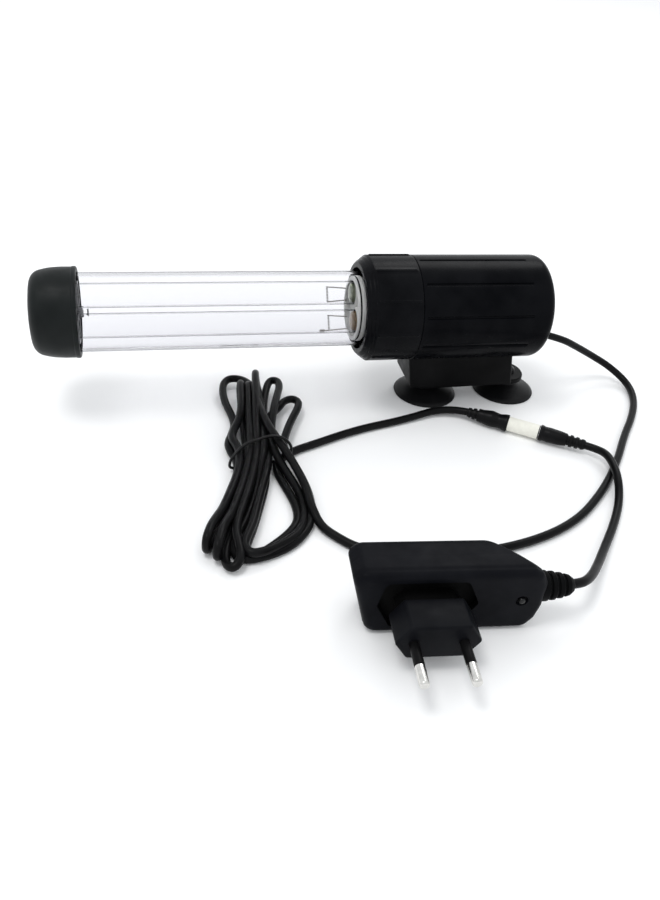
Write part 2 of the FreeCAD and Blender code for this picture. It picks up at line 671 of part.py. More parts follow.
board_near, board_far = half_deep - 2, half_deep - 0.4
node(box("adapter_board", (left + 10, board_near, 4), (right - 11, board_far, high - 4), BOX),
     "adapter_board")
node(merge("adapter_transformer", [
    box("transformer_core", (-6, board_far, 7), (9, board_far + 8, 25), BOX),
    box("transformer_coil", (-3, board_far, 5.5), (6, board_far + 7, 26.5), BOX)]), "adapter_transformer")
node(merge("adapter_capacitors", [
    cylinder("adapter_capacitor_in", 4.0, 11, BOX, (-12, board_far + 4, 8), "z"),
    cylinder("adapter_capacitor_out", 3.5, 10, BOX, (18, board_far + 3.5, 8), "z"),
    box("adapter_rectifier", (26, board_far, 9), (33, board_far + 3.5, 15), BOX)]), "adapter_capacitors")

# ---------------------------------------------------------------- cords
LEAD_ROUTE = [
    (133.0, 0, 35.0), (146.0, 0.3, 31.6), (160.0, 4.0, 23.6), (174.0, 7.0, 15.3), (186.0, 6.3, 8.6),
    (193.8, -4.0, 3.6), (191.5, -18.5, 2.15), (181.0, -36.0, 2.1), (166.0, -54.5, 2.1), (152.0, -74.5, 2.1),
    (133.0, -97.0, 2.1), (107.0, -119.5, 2.1), (74.0, -131.5, 2.1), (36.0, -134.0, 2.1),
    (4.0, -127.0, 2.1), (-14.5, -105.5, 2.1)]


def join_point(along, lift=0.0):
    at = JOIN.point(along, 0, lift)
    return tuple(d.value for d in at)


JACK_ROUTE = [
    (-23.0, -61.0, 3.4), (-4.0, -48.5, 2.3), (22.0, -37.0, 2.1), (50.0, -30.0, 2.1), (74.45, -22.1, 3.6),
    join_point(tail)]
ADAPTER_ROUTE = [
    join_point(38.0), (142.3, -67.4, 4.9), (146.0, -76.6, 6.5), (140.2, -95.0, 6.5), (131.0, -109.5, 2.4),
    (120.5, -122.2, 2.15), (107.5, -138.2, 4.2), (95.2, -153.2, 9.8), (86.2, -165.8, 15.2),
    tuple(d.value for d in BOX.point(S["boot_tip"], S["boot_depth"], S["boot_level"]))]
for name, points, flex in (
        ("lamp_lead", LEAD_ROUTE, 3), ("jack_lead", JACK_ROUTE, 3), ("adapter_lead", ADAPTER_ROUTE, 3)):
    node(solid(name, route(name, points, S["lead_radius"].value, flex)), name)

# the tied hank: the outer shape of a fan of loops each side of the tie, each as (x, y, radius) of its end
HANK_WAIST, WAIST_RADIUS = V(-31.5, -54.0, 0), 8.6
HANK_LOOPS = [(-35, 3.5, 13.0), (-22.5, 1.0, 12.5), (-20.0, -10.0, 12.5),
              (-49.5, -121.5, 13.5), (-37.0, -114.5, 16.0), (-27.0, -99.0, 16.0)]


def hank_loop(index, x, y, radius):
    """One loop: the waist's circle and the circle of the loop's end, joined by their outer tangents."""
    end = V(x, y, 0)
    way = end - HANK_WAIST
    heading = math.atan2(way.y, way.x)
    lean = math.acos((WAIST_RADIUS - radius) / way.Length)

    def touch(centre, size, turn):
        angle = heading + turn
        return (centre.x + size * math.cos(angle), centre.y + size * math.sin(angle))

    arc_about_end, arc_about_waist = (end.x, end.y), (HANK_WAIST.x, HANK_WAIST.y)
    return slab("hank_loop_%d" % index, [
        touch(HANK_WAIST, WAIST_RADIUS, -lean), touch(end, radius, -lean) + arc_about_end,
        touch(end, radius, 0) + arc_about_end, touch(end, radius, lean),
        touch(HANK_WAIST, WAIST_RADIUS, lean) + arc_about_waist], 0, S["hank_high"], WORLD, "XY_Plane")


hank = node(merge("cord_hank", [hank_loop(k, *loop) for k, loop in enumerate(HANK_LOOPS)]), "cord_hank")
tie_half, tie_low, tie_long = 11.0, HANK_WAIST.y - 2.5, 5.0
tie_block = box("tie_block", (HANK_WAIST.x - tie_half, tie_low, 0),
                (HANK_WAIST.x + tie_half, tie_low + tie_long, S["hank_high"] + 1.7))
node(cut("hank_tie", tie_block, [hank]), "hank_tie")


def wire(name, points):
    return route(name, points, S["wire_radius"].value, 1.5)


contact_end = (contact_front + contact_long).value
wires = []
for side in (1, -1):
    at = [d.value for d in LAMP.point(*ring_point(contact_end, 0, S["lamp_pin_offset"] * side, -LAMP_TILT))]
    wires.append(solid("socket_wire_%d" % side, wire("socket_wire_%d" % side, [
        tuple(at), (at[0] + 2.5, at[1], at[2]), (at[0] + 4.5, at[1] - 4 * side, at[2]),
        (68.5, -17.0 * side, S["board_level"].value + 7),
        (68.5, -17.0 * side, S["board_level"].value + S["board_thick"].value)])))
for side in (1, -1):
    wires.append(solid("feed_wire_%d" % side, wire("feed_wire_%d" % side, [
        (119.0, 1.2 * side, 35.0), (113.0, 1.2 * side, 35.0), (106.0, 4.0 * side, 38.0),
        (106.0, 4.0 * side, S["board_level"].value)])))
node(merge("inner_wires", wires), "inner_wires")

# ---------------------------------------------------------------- check and write
DOC.recompute()
os.makedirs("parts", exist_ok=True)
for obj in DOC.Objects:
    if any(word in str(state) for state in obj.State for word in ("Invalid", "Error")):
        raise RuntimeError("%s is %s" % (obj.Name, obj.State))
for obj in NODES:
    shape = obj.Shape
    if shape.isNull() or not shape.isValid():
        raise RuntimeError(obj.Label + " has no valid shape")
    bounds = shape.BoundBox
    print("%-22s solids %d volume %10.1f  x %.1f..%.1f  y %.1f..%.1f  z %.2f..%.2f" % (
        obj.Label, len(shape.Solids), shape.Volume, bounds.XMin, bounds.XMax, bounds.YMin, bounds.YMax,
        bounds.ZMin, bounds.ZMax))
    shape.exportStep("parts/%s.step" % obj.Label)
print(len(NODES), "nodes written")
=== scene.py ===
import json
import math

import bmesh
import bpy
from mathutils import Matrix, Vector


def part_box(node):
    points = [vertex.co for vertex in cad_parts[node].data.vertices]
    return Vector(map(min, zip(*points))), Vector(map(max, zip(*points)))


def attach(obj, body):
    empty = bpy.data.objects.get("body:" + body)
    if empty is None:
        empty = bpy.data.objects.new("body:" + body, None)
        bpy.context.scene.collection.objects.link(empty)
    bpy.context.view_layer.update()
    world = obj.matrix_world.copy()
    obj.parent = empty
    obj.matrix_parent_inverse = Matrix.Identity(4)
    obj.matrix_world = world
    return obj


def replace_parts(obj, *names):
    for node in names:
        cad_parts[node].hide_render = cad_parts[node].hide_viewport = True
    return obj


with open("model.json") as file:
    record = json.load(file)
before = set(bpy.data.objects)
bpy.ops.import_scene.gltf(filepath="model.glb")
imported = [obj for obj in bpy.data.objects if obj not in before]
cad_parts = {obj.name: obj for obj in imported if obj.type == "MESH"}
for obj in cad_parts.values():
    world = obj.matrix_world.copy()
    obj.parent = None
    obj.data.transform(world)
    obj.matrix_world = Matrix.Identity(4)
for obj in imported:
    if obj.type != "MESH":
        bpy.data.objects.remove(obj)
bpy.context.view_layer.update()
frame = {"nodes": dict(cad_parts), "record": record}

# A submersible ultraviolet clarifier lamp with its lead, inline connector and wall adapter.
# Everything is modelled in millimetres in the frame of its own seat, and placed in metres.
MM = 0.001
scene = bpy.context.scene


def span(node, axis):
    """Lowest and highest place of a CAD node along an axis, in millimetres."""
    low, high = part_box(node)
    return low[axis] / MM, high[axis] / MM


def middle(node, axis):
    return sum(span(node, axis)) / 2


def seat(x, y, z, yaw=0.0, upright=False):
    """A frame in millimetres: its origin, a turn about Z and, when upright, its X axis pointing up."""
    turn = Matrix.Rotation(math.radians(yaw), 4, "Z")
    if upright:
        turn = turn @ Matrix.Rotation(math.radians(-90), 4, "Y")
    return Matrix.Translation(Vector((x, y, z)) * MM) @ turn @ Matrix.Scale(MM, 4)


AXIS_HEIGHT = middle("glass_sleeve", 2)
GLASS_TIP, GLASS_MOUTH = span("glass_sleeve", 0)
CAP_TIP, CAP_MOUTH = span("end_cap", 0)
RING_FRONT, RING_BACK = span("clamp_ring", 0)
SHELL_NECK, SHELL_BACK = span("rear_housing", 0)
CUP_PLACES = {"front": middle("suction_cup_front", 0), "back": middle("suction_cup_back", 0)}
LAMP_TILT = 36.0
TUBE_RADIUS, TUBE_WALL, TUBE_OFFSET, TUBE_RISE = 6.0, 0.8, 7.3, 0.8
BRIDGE_BACK = 5.4
SLEEVE_RADIUS, SLEEVE_WALL = 19.0, 1.5
SHELL_RADIUS = 27.0

LAMP = seat(0, 0, AXIS_HEIGHT)
JOIN = seat(103.6, -41.5, 4.7, -33.6)
BOX = seat(17.0, -172.3, 0, -4.8)


# ---------------------------------------------------------------- camera
CAMERA_PLACE = (-86.48, -382.62, 249.83)
CAMERA_ANGLES = (-15.46, 35.95, 6.26)
CAMERA_LENS = 34


def set_camera():
    """A camera at CAMERA_PLACE, turned by an azimuth, an elevation and a roll in degrees."""
    azimuth, elevation, roll = (math.radians(a) for a in CAMERA_ANGLES)
    back = Vector((math.sin(azimuth) * math.cos(elevation), -math.cos(azimuth) * math.cos(elevation),
                   math.sin(elevation)))
    level = Vector((math.cos(azimuth), math.sin(azimuth), 0))
    above = back.cross(level)
    right = level * math.cos(roll) + above * math.sin(roll)
    up = above * math.cos(roll) - level * math.sin(roll)
    camera = bpy.data.objects.new("camera", bpy.data.cameras.new("camera"))
    camera.data.lens = CAMERA_LENS
    camera.data.sensor_width = 36
    camera.data.clip_start = 0.01
    turn = Matrix((right, up, back)).transposed().to_4x4()
    camera.matrix_world = Matrix.Translation(Vector(CAMERA_PLACE) * MM) @ turn
    scene.collection.objects.link(camera)
    scene.camera = camera


# ---------------------------------------------------------------- materials
class Nodes:
    """A node tree that is built one call at a time."""

    def __init__(self, name):
        self.material = bpy.data.materials.new(name)
        self.material.use_nodes = True
        self.tree = self.material.node_tree
        self.shader = self.tree.nodes["Principled BSDF"]
        self.place = self.add("ShaderNodeTexCoord").outputs["Object"]

    def add(self, kind, **values):
        made = self.tree.nodes.new(kind)
        for key, value in values.items():
            setattr(made, key, value)
        return made

    def link(self, start, end):
        self.tree.links.new(start, end)

    def set(self, **values):
        for key, value in values.items():
            self.shader.inputs[key.replace("_", " ")].default_value = value

    def noise(self, size_mm, detail=3.0, stretch=None):
        """Noise whose features are about size_mm across, stretched along an axis when asked."""
        texture = self.add("ShaderNodeTexNoise")
        texture.inputs["Scale"].default_value = 1 / (size_mm * MM)
        texture.inputs["Detail"].default_value = detail
        place = self.place
        if stretch:
            mapping = self.add("ShaderNodeMapping")
            mapping.inputs["Scale"].default_value = stretch
            self.link(place, mapping.inputs["Vector"])
            place = mapping.outputs["Vector"]
        self.link(place, texture.inputs["Vector"])
        return texture.outputs["Fac"]

    def ramp(self, value, low, high, start=0.35, end=0.65):
        made = self.add("ShaderNodeValToRGB")
        for stop, place, color in zip(made.color_ramp.elements, (start, end), (low, high)):
            stop.position = place
            stop.color = (*color, 1) if len(color) == 3 else color
        self.link(value, made.inputs["Fac"])
        return made.outputs["Color"]

    def spread(self, value, low, high):
        """Value from 0 to 1 taken to a range."""
        made = self.add("ShaderNodeMapRange")
        made.inputs["From Min"].default_value, made.inputs["From Max"].default_value = 0.3, 0.7
        made.inputs["To Min"].default_value, made.inputs["To Max"].default_value = low, high
        self.link(value, made.inputs["Value"])
        return made.outputs["Result"]

    def bump(self, value, depth_mm, before=None):
        made = self.add("ShaderNodeBump")
        made.inputs["Distance"].default_value = depth_mm * MM
        made.inputs["Strength"].default_value = 1.0
        self.link(value, made.inputs["Height"])
        if before is not None:
            self.link(before, made.inputs["Normal"])
        self.link(made.outputs["Normal"], self.shader.inputs["Normal"])
        return made.outputs["Normal"]


def moulded(name, color, rough, grain_mm=0.45, grain_deep=0.012, patch=0.25, level=0.5, coat=0.0):
    """Moulded plastic or rubber: a fine grain, slow waviness and slightly uneven colour and gloss."""
    n = Nodes(name)
    lighter = tuple(min(1, c * (1 + patch) + 0.002) for c in color)
    n.link(n.ramp(n.noise(14, 4), color, lighter), n.shader.inputs["Base Color"])
    n.link(n.spread(n.noise(5, 3), rough * 0.88, min(1, rough * 1.14)), n.shader.inputs["Roughness"])
    fine = n.bump(n.noise(grain_mm, 2), grain_deep)
    n.bump(n.noise(9, 1), 0.05, fine)
    n.set(Specular_IOR_Level=level, Coat_Weight=coat, Coat_Roughness=0.12)
    return n.material


def clear(name, lower, upper, painted_edge_shade, ior, smear_mm=22, edge_from=0.32, edge_to=0.62):
    """Clear glass with painted shade: a darker tint towards its lower side, and a grey tint where it is seen
    edge on.
    """
    n = Nodes(name)
    n.set(Transmission_Weight=1.0, IOR=ior, Roughness=0.0)
    height = n.add("ShaderNodeSeparateXYZ")
    n.link(n.place, height.inputs["Vector"])
    rise = n.add("ShaderNodeMapRange")
    rise.inputs["From Min"].default_value = (AXIS_HEIGHT - 17) * MM
    rise.inputs["From Max"].default_value = (AXIS_HEIGHT + 6) * MM
    n.link(height.outputs["Z"], rise.inputs["Value"])
    # Painted shade: the colour turns to the edge colour where the surface is seen edge on.
    facing = n.add("ShaderNodeLayerWeight")
    facing.inputs["Blend"].default_value = 0.25
    blend = n.add("ShaderNodeMix", data_type="RGBA")
    n.link(n.ramp(facing.outputs["Facing"], (0, 0, 0), (1, 1, 1), edge_from, edge_to), blend.inputs["Factor"])
    n.link(n.ramp(rise.outputs["Result"], lower, upper, 0.0, 1.0), blend.inputs["A"])
    blend.inputs["B"].default_value = (*painted_edge_shade, 1)
    n.link(blend.outputs["Result"], n.shader.inputs["Base Color"])
    n.bump(n.noise(smear_mm, 1, stretch=(0.15, 1, 1)), 0.03)
    return n.material


def metal(name, color, rough, stretch=(1, 1, 12), grain_mm=0.9, grain_deep=0.004):
    """Metal with fine drawn lines and slightly uneven polish."""
    n = Nodes(name)
    darker = tuple(c * 0.82 for c in color)
    n.link(n.ramp(n.noise(3, 3), darker, color), n.shader.inputs["Base Color"])
    n.link(n.spread(n.noise(1.5, 3, stretch), rough * 0.75, rough * 1.3), n.shader.inputs["Roughness"])
    n.bump(n.noise(grain_mm, 2, stretch), grain_deep)
    n.set(Metallic=1.0)
    return n.material


def paper(name, color):
    """Matt printed paper with faint fibres."""
    n = Nodes(name)
    lighter = tuple(min(1, c * 1.06) for c in color)
    n.link(n.ramp(n.noise(2.5, 4), color, lighter), n.shader.inputs["Base Color"])
    n.link(n.spread(n.noise(1.2, 3), 0.48, 0.6), n.shader.inputs["Roughness"])
    n.bump(n.noise(0.25, 3), 0.006)
    return n.material


# Painted shade for the glass: a tint that darkens towards its lower side, in place of the darker surroundings
# seen reflected there.
GLASS_SHADE_LOW, GLASS_SHADE_HIGH, CLEAR = (0.880, 0.878, 0.896), (0.930, 0.930, 0.938), (0.985, 0.985, 0.988)
LOOKS = {
    "housing_abs": moulded("housing_abs", (0.0017, 0.0019, 0.0027), 0.25, 0.6, 0.005, 0.3, 0.03),
    "ring_abs": moulded("ring_abs", (0.0020, 0.0022, 0.0030), 0.27, 0.6, 0.006, 0.3, 0.045),
    "bracket_plastic": moulded("bracket_plastic", (0.0022, 0.0022, 0.0025), 0.40, 0.6, 0.012, 0.3, 0.06),
    "soft_rubber": moulded("soft_rubber", (0.0040, 0.0056, 0.0056), 0.44, 0.35, 0.012, 0.25, 0.13),
    "cup_rubber": moulded("cup_rubber", (0.0050, 0.0050, 0.0055), 0.34, 0.5, 0.008, 0.25, 0.12),
    "gasket_rubber": moulded("gasket_rubber", (0.0035, 0.0035, 0.0035), 0.6, 0.4, 0.012, 0.25, 0.1),
    "seal_silicone": moulded("seal_silicone", (0.72, 0.72, 0.69), 0.45, 0.6, 0.01, 0.08),
    # The dark edge colours given to quartz and lamp_glass are painted shade for glass seen edge on.
    "quartz": clear("quartz", GLASS_SHADE_LOW, GLASS_SHADE_HIGH, (0.22, 0.22, 0.24), 1.06, 22, 0.24, 0.6),
    "quartz_bore": clear("quartz_bore", GLASS_SHADE_LOW, GLASS_SHADE_HIGH, GLASS_SHADE_LOW, 1.06, 22),
    "lamp_glass": clear("lamp_glass", CLEAR, CLEAR, (0.13, 0.13, 0.15), 1.08, 12, 0.24, 0.54),
    "lamp_glass_bore": clear("lamp_glass_bore", CLEAR, CLEAR, CLEAR, 1.08, 12),
    "filament_metal": metal("filament_metal", (0.42, 0.40, 0.38), 0.3),
    "lamp_plastic": moulded("lamp_plastic", (0.62, 0.62, 0.60), 0.34, 0.5, 0.006, 0.05),
    "pin_brass": metal("pin_brass", (0.78, 0.60, 0.30), 0.25),
    "clip_steel": metal("clip_steel", (0.30, 0.30, 0.31), 0.3),
    "socket_plastic": moulded("socket_plastic", (0.70, 0.70, 0.66), 0.45, 0.6, 0.01, 0.06),
    "board": moulded("board", (0.015, 0.13, 0.05), 0.35, 1.2, 0.01, 0.5),
    "choke": moulded("choke", (0.10, 0.07, 0.04), 0.55, 1.0, 0.03, 0.4),
    "can_metal": metal("can_metal", (0.55, 0.57, 0.60), 0.35),
    "chip": moulded("chip", (0.02, 0.02, 0.02), 0.5, 0.5, 0.01),
    "wire_cover": moulded("wire_cover", (0.55, 0.55, 0.53), 0.45, 0.5, 0.01, 0.1),
    "cord_rubber": moulded("cord_rubber", (0.0028, 0.0028, 0.0031), 0.33, 0.7, 0.010, 0.3, 0.085),
    "tie_wire": moulded("tie_wire", (0.0040, 0.0040, 0.0042), 0.30, 0.5, 0.010, 0.3, 0.2),
    "connector_plastic": moulded("connector_plastic", (0.0026, 0.0026, 0.0030), 0.36, 0.5, 0.010, 0.3, 0.10),
    "label_paper": paper("label_paper", (0.82, 0.81, 0.73)),
    "contact_metal": metal("contact_metal", (0.80, 0.80, 0.80), 0.2),
    "adapter_plastic": moulded("adapter_plastic", (0.0030, 0.0033, 0.0048), 0.44, 0.40, 0.020, 0.3, 0.045),
    "block_plastic": moulded("block_plastic", (0.0030, 0.0033, 0.0045), 0.40, 0.40, 0.014, 0.3, 0.045),
    "mains_pin": metal("mains_pin", (0.74, 0.73, 0.70), 0.20, (1, 14, 1)),
    "pin_cover_plastic": moulded("pin_cover_plastic", (0.0022, 0.0022, 0.0024), 0.32, 0.5, 0.006, 0.3, 0.08),
    "led_plastic": moulded("led_plastic", (0.003, 0.003, 0.0035), 0.16, 0.8, 0.004, 0.3, 0.3),
    "boot_rubber": moulded("boot_rubber", (0.0013, 0.0014, 0.0016), 0.42, 0.5, 0.012, 0.3, 0.03),
    "stem_green": moulded("stem_green", (0.12, 0.135, 0.09), 0.20, 1.6, 0.05, 1.6, 0.6),
    "stem_amber": moulded("stem_amber", (0.20, 0.14, 0.085), 0.20, 1.6, 0.05, 1.1, 0.6),
    # A near black look used only as painted shade: in the lamp end's groove, in the adapter's pocket and on
    # the plug block's neck.
    "painted_shade_dark": moulded("painted_shade_dark", (0.0020, 0.0020, 0.0020), 0.6, 0.5, 0.01, 0.25, 0.05),
}


# ---------------------------------------------------------------- mesh helpers
def rounded(points, closed=False, steps=5):
    """An outline in two coordinates whose corners (a, b, radius) become arcs."""
    count, out = len(points), []
    for i, corner in enumerate(points):
        spot = Vector(corner[:2])
        open_end = not closed and i in (0, count - 1)
        radius = corner[2] if len(corner) > 2 and not open_end else 0
        into = Vector(points[i - 1][:2]) - spot
        onward = Vector(points[(i + 1) % count][:2]) - spot
        if not radius or into.length < 1e-6 or onward.length < 1e-6:
            out.append(tuple(spot))
            continue
        half = into.angle(onward) / 2
        if half > math.radians(89.5):
            out.append(tuple(spot))
            continue
        reach = min(radius / math.tan(half), 0.49 * into.length, 0.49 * onward.length)
        radius = reach * math.tan(half)
        bisector = (into.normalized() + onward.normalized()).normalized()
        centre = spot + bisector * (radius / math.sin(half))
        start = spot + into.normalized() * reach - centre
        swing = start.angle_signed(spot + onward.normalized() * reach - centre)
        for k in range(steps + 1):
            turned_by = -swing * k / steps
            c, s = math.cos(turned_by), math.sin(turned_by)
            out.append((centre.x + start.x * c - start.y * s, centre.y + start.x * s + start.y * c))
    return out


def even_angles(count):
    return [2 * math.pi * k / count for k in range(count)]


def turned(profile, angles=96, closed=False, shape=None):
    """A surface turned about the seat's X axis; shape(x, radius, angle) may change a radius."""
    bm = bmesh.new()
    angles = even_angles(angles) if isinstance(angles, int) else angles
    rings = []
    for x, r in profile:
        if r < 1e-5:
            rings.append([bm.verts.new((x, 0, 0))])
            continue
        ring = []
        for a in angles:
            size = shape(x, r, a) if shape else r
            ring.append(bm.verts.new((x, size * math.cos(a), size * math.sin(a))))
        rings.append(ring)
    pairs = list(zip(rings, rings[1:])) + ([(rings[-1], rings[0])] if closed else [])
    for one, two in pairs:
        if len(one) == 1 and len(two) == 1:
            continue
        for k in range(len(angles)):
            m = (k + 1) % len(angles)
            corners = [one[k % len(one)], one[m % len(one)], two[m % len(two)], two[k % len(two)]]
            unique = list(dict.fromkeys(corners))
            bm.faces.new(unique)
    bmesh.ops.recalc_face_normals(bm, faces=bm.faces)
    return bm


def slab(outline, near, far, round_near=0.0, round_far=0.0, steps=4):
    """An outline in (across, up), run along the seat's Y from near to far, with rounded rims."""
    bm = bmesh.new()
    rims = []
    for depth in (near, far):
        rims.append([bm.verts.new((a, depth, b)) for a, b in outline])
    count = len(outline)
    for k in range(count):
        m = (k + 1) % count
        bm.faces.new((rims[0][k], rims[0][m], rims[1][m], rims[1][k]))
    bm.faces.new(rims[0])
    bm.faces.new(rims[1])
    bmesh.ops.recalc_face_normals(bm, faces=bm.faces)
    bm.edges.ensure_lookup_table()
    for depth, size in ((near, round_near), (far, round_far)):
        if size:
            rim = [e for e in bm.edges if all(abs(v.co.y - depth) < 1e-4 for v in e.verts)]
            bmesh.ops.bevel(bm, geom=rim, offset=size, segments=steps, profile=0.5, affect="EDGES",
                            clamp_overlap=True)
    return bm


def joined(*parts):
    """Several meshes as one."""
    bm = bmesh.new()
    for part in parts:
        mesh = bpy.data.meshes.new("part")
        part.to_mesh(mesh)
        part.free()
        bm.from_mesh(mesh)
        bpy.data.meshes.remove(mesh)
    return bm


def moved(bm, x=0.0, y=0.0, z=0.0):
    bmesh.ops.translate(bm, vec=(x, y, z), verts=bm.verts)
    return bm


def leaned(bm, degrees):
    """Turned about the seat's X axis; a positive turn carries +Z towards -Y."""
    turn = Matrix.Rotation(math.radians(degrees), 3, "X")
    bmesh.ops.rotate(bm, cent=(0, 0, 0), matrix=turn, verts=bm.verts)
    return bm


def quarter_turned(bm, axis):
    """Turned a quarter about one of the seat's axes."""
    turn = Matrix.Rotation(math.radians(90), 3, axis)
    bmesh.ops.rotate(bm, cent=(0, 0, 0), matrix=turn, verts=bm.verts)
    return bm


def piece(name, bm, where, look, body="housing", stands_for=(), crease=32):
    mesh = bpy.data.meshes.new(name)
    bm.to_mesh(mesh)
    bm.free()
    mesh.transform(where)
    mesh.shade_smooth()
    mesh.set_sharp_from_angle(angle=math.radians(crease))
    made = bpy.data.objects.new(name, mesh)
    scene.collection.objects.link(made)
    mesh.materials.append(LOOKS[look])
    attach(made, body)
    if stands_for:
        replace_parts(made, *stands_for)
    return made


def line_bore(made, radius, look, centres=((0, 0),)):
    """Gives the faces nearer than radius to a lamp axis (y, z) another look."""
    mesh = made.data
    mesh.materials.append(LOOKS[look])
    for face in mesh.polygons:
        y, z = face.center.y / MM, face.center.z / MM - AXIS_HEIGHT
        if min(math.hypot(y - a, z - b) for a, b in centres) < radius:
            face.material_index = 1


def cord_curve(name, points, diameter, look, body="housing"):
    """A round cord on one smooth line, its points in millimetres."""
    data = bpy.data.curves.new(name, "CURVE")
    data.dimensions = "3D"
    data.bevel_depth = diameter / 2 * MM
    data.bevel_resolution = 5
    data.resolution_u = 8
    data.use_fill_caps = True
    line = data.splines.new("NURBS")
    line.points.add(len(points) - 1)
    for spot, place in zip(line.points, points):
        spot.co = (*(Vector(place) * MM), 1)
    line.order_u = 3
    line.use_endpoint_u = True
    made = bpy.data.objects.new(name, data)
    scene.collection.objects.link(made)
    data.materials.append(LOOKS[look])
    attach(made, body)
    return made


# ---------------------------------------------------------------- cords
LEAD_WIDE = 4.0
LEAD_LINE = [
    (133.0, 0, 35.0), (146.0, 0.3, 31.6), (160.0, 4.0, 23.6), (174.0, 7.0, 15.3), (186.0, 6.3, 8.6),
    (193.8, -4.0, 3.6), (191.5, -18.5, 2.15), (181.0, -36.0, 2.1), (166.0, -54.5, 2.1),
    (152.0, -74.5, 2.1), (133.0, -97.0, 2.1), (107.0, -119.5, 2.1), (74.0, -131.5, 2.1),
    (36.0, -134.0, 2.1), (4.0, -127.0, 2.1)]
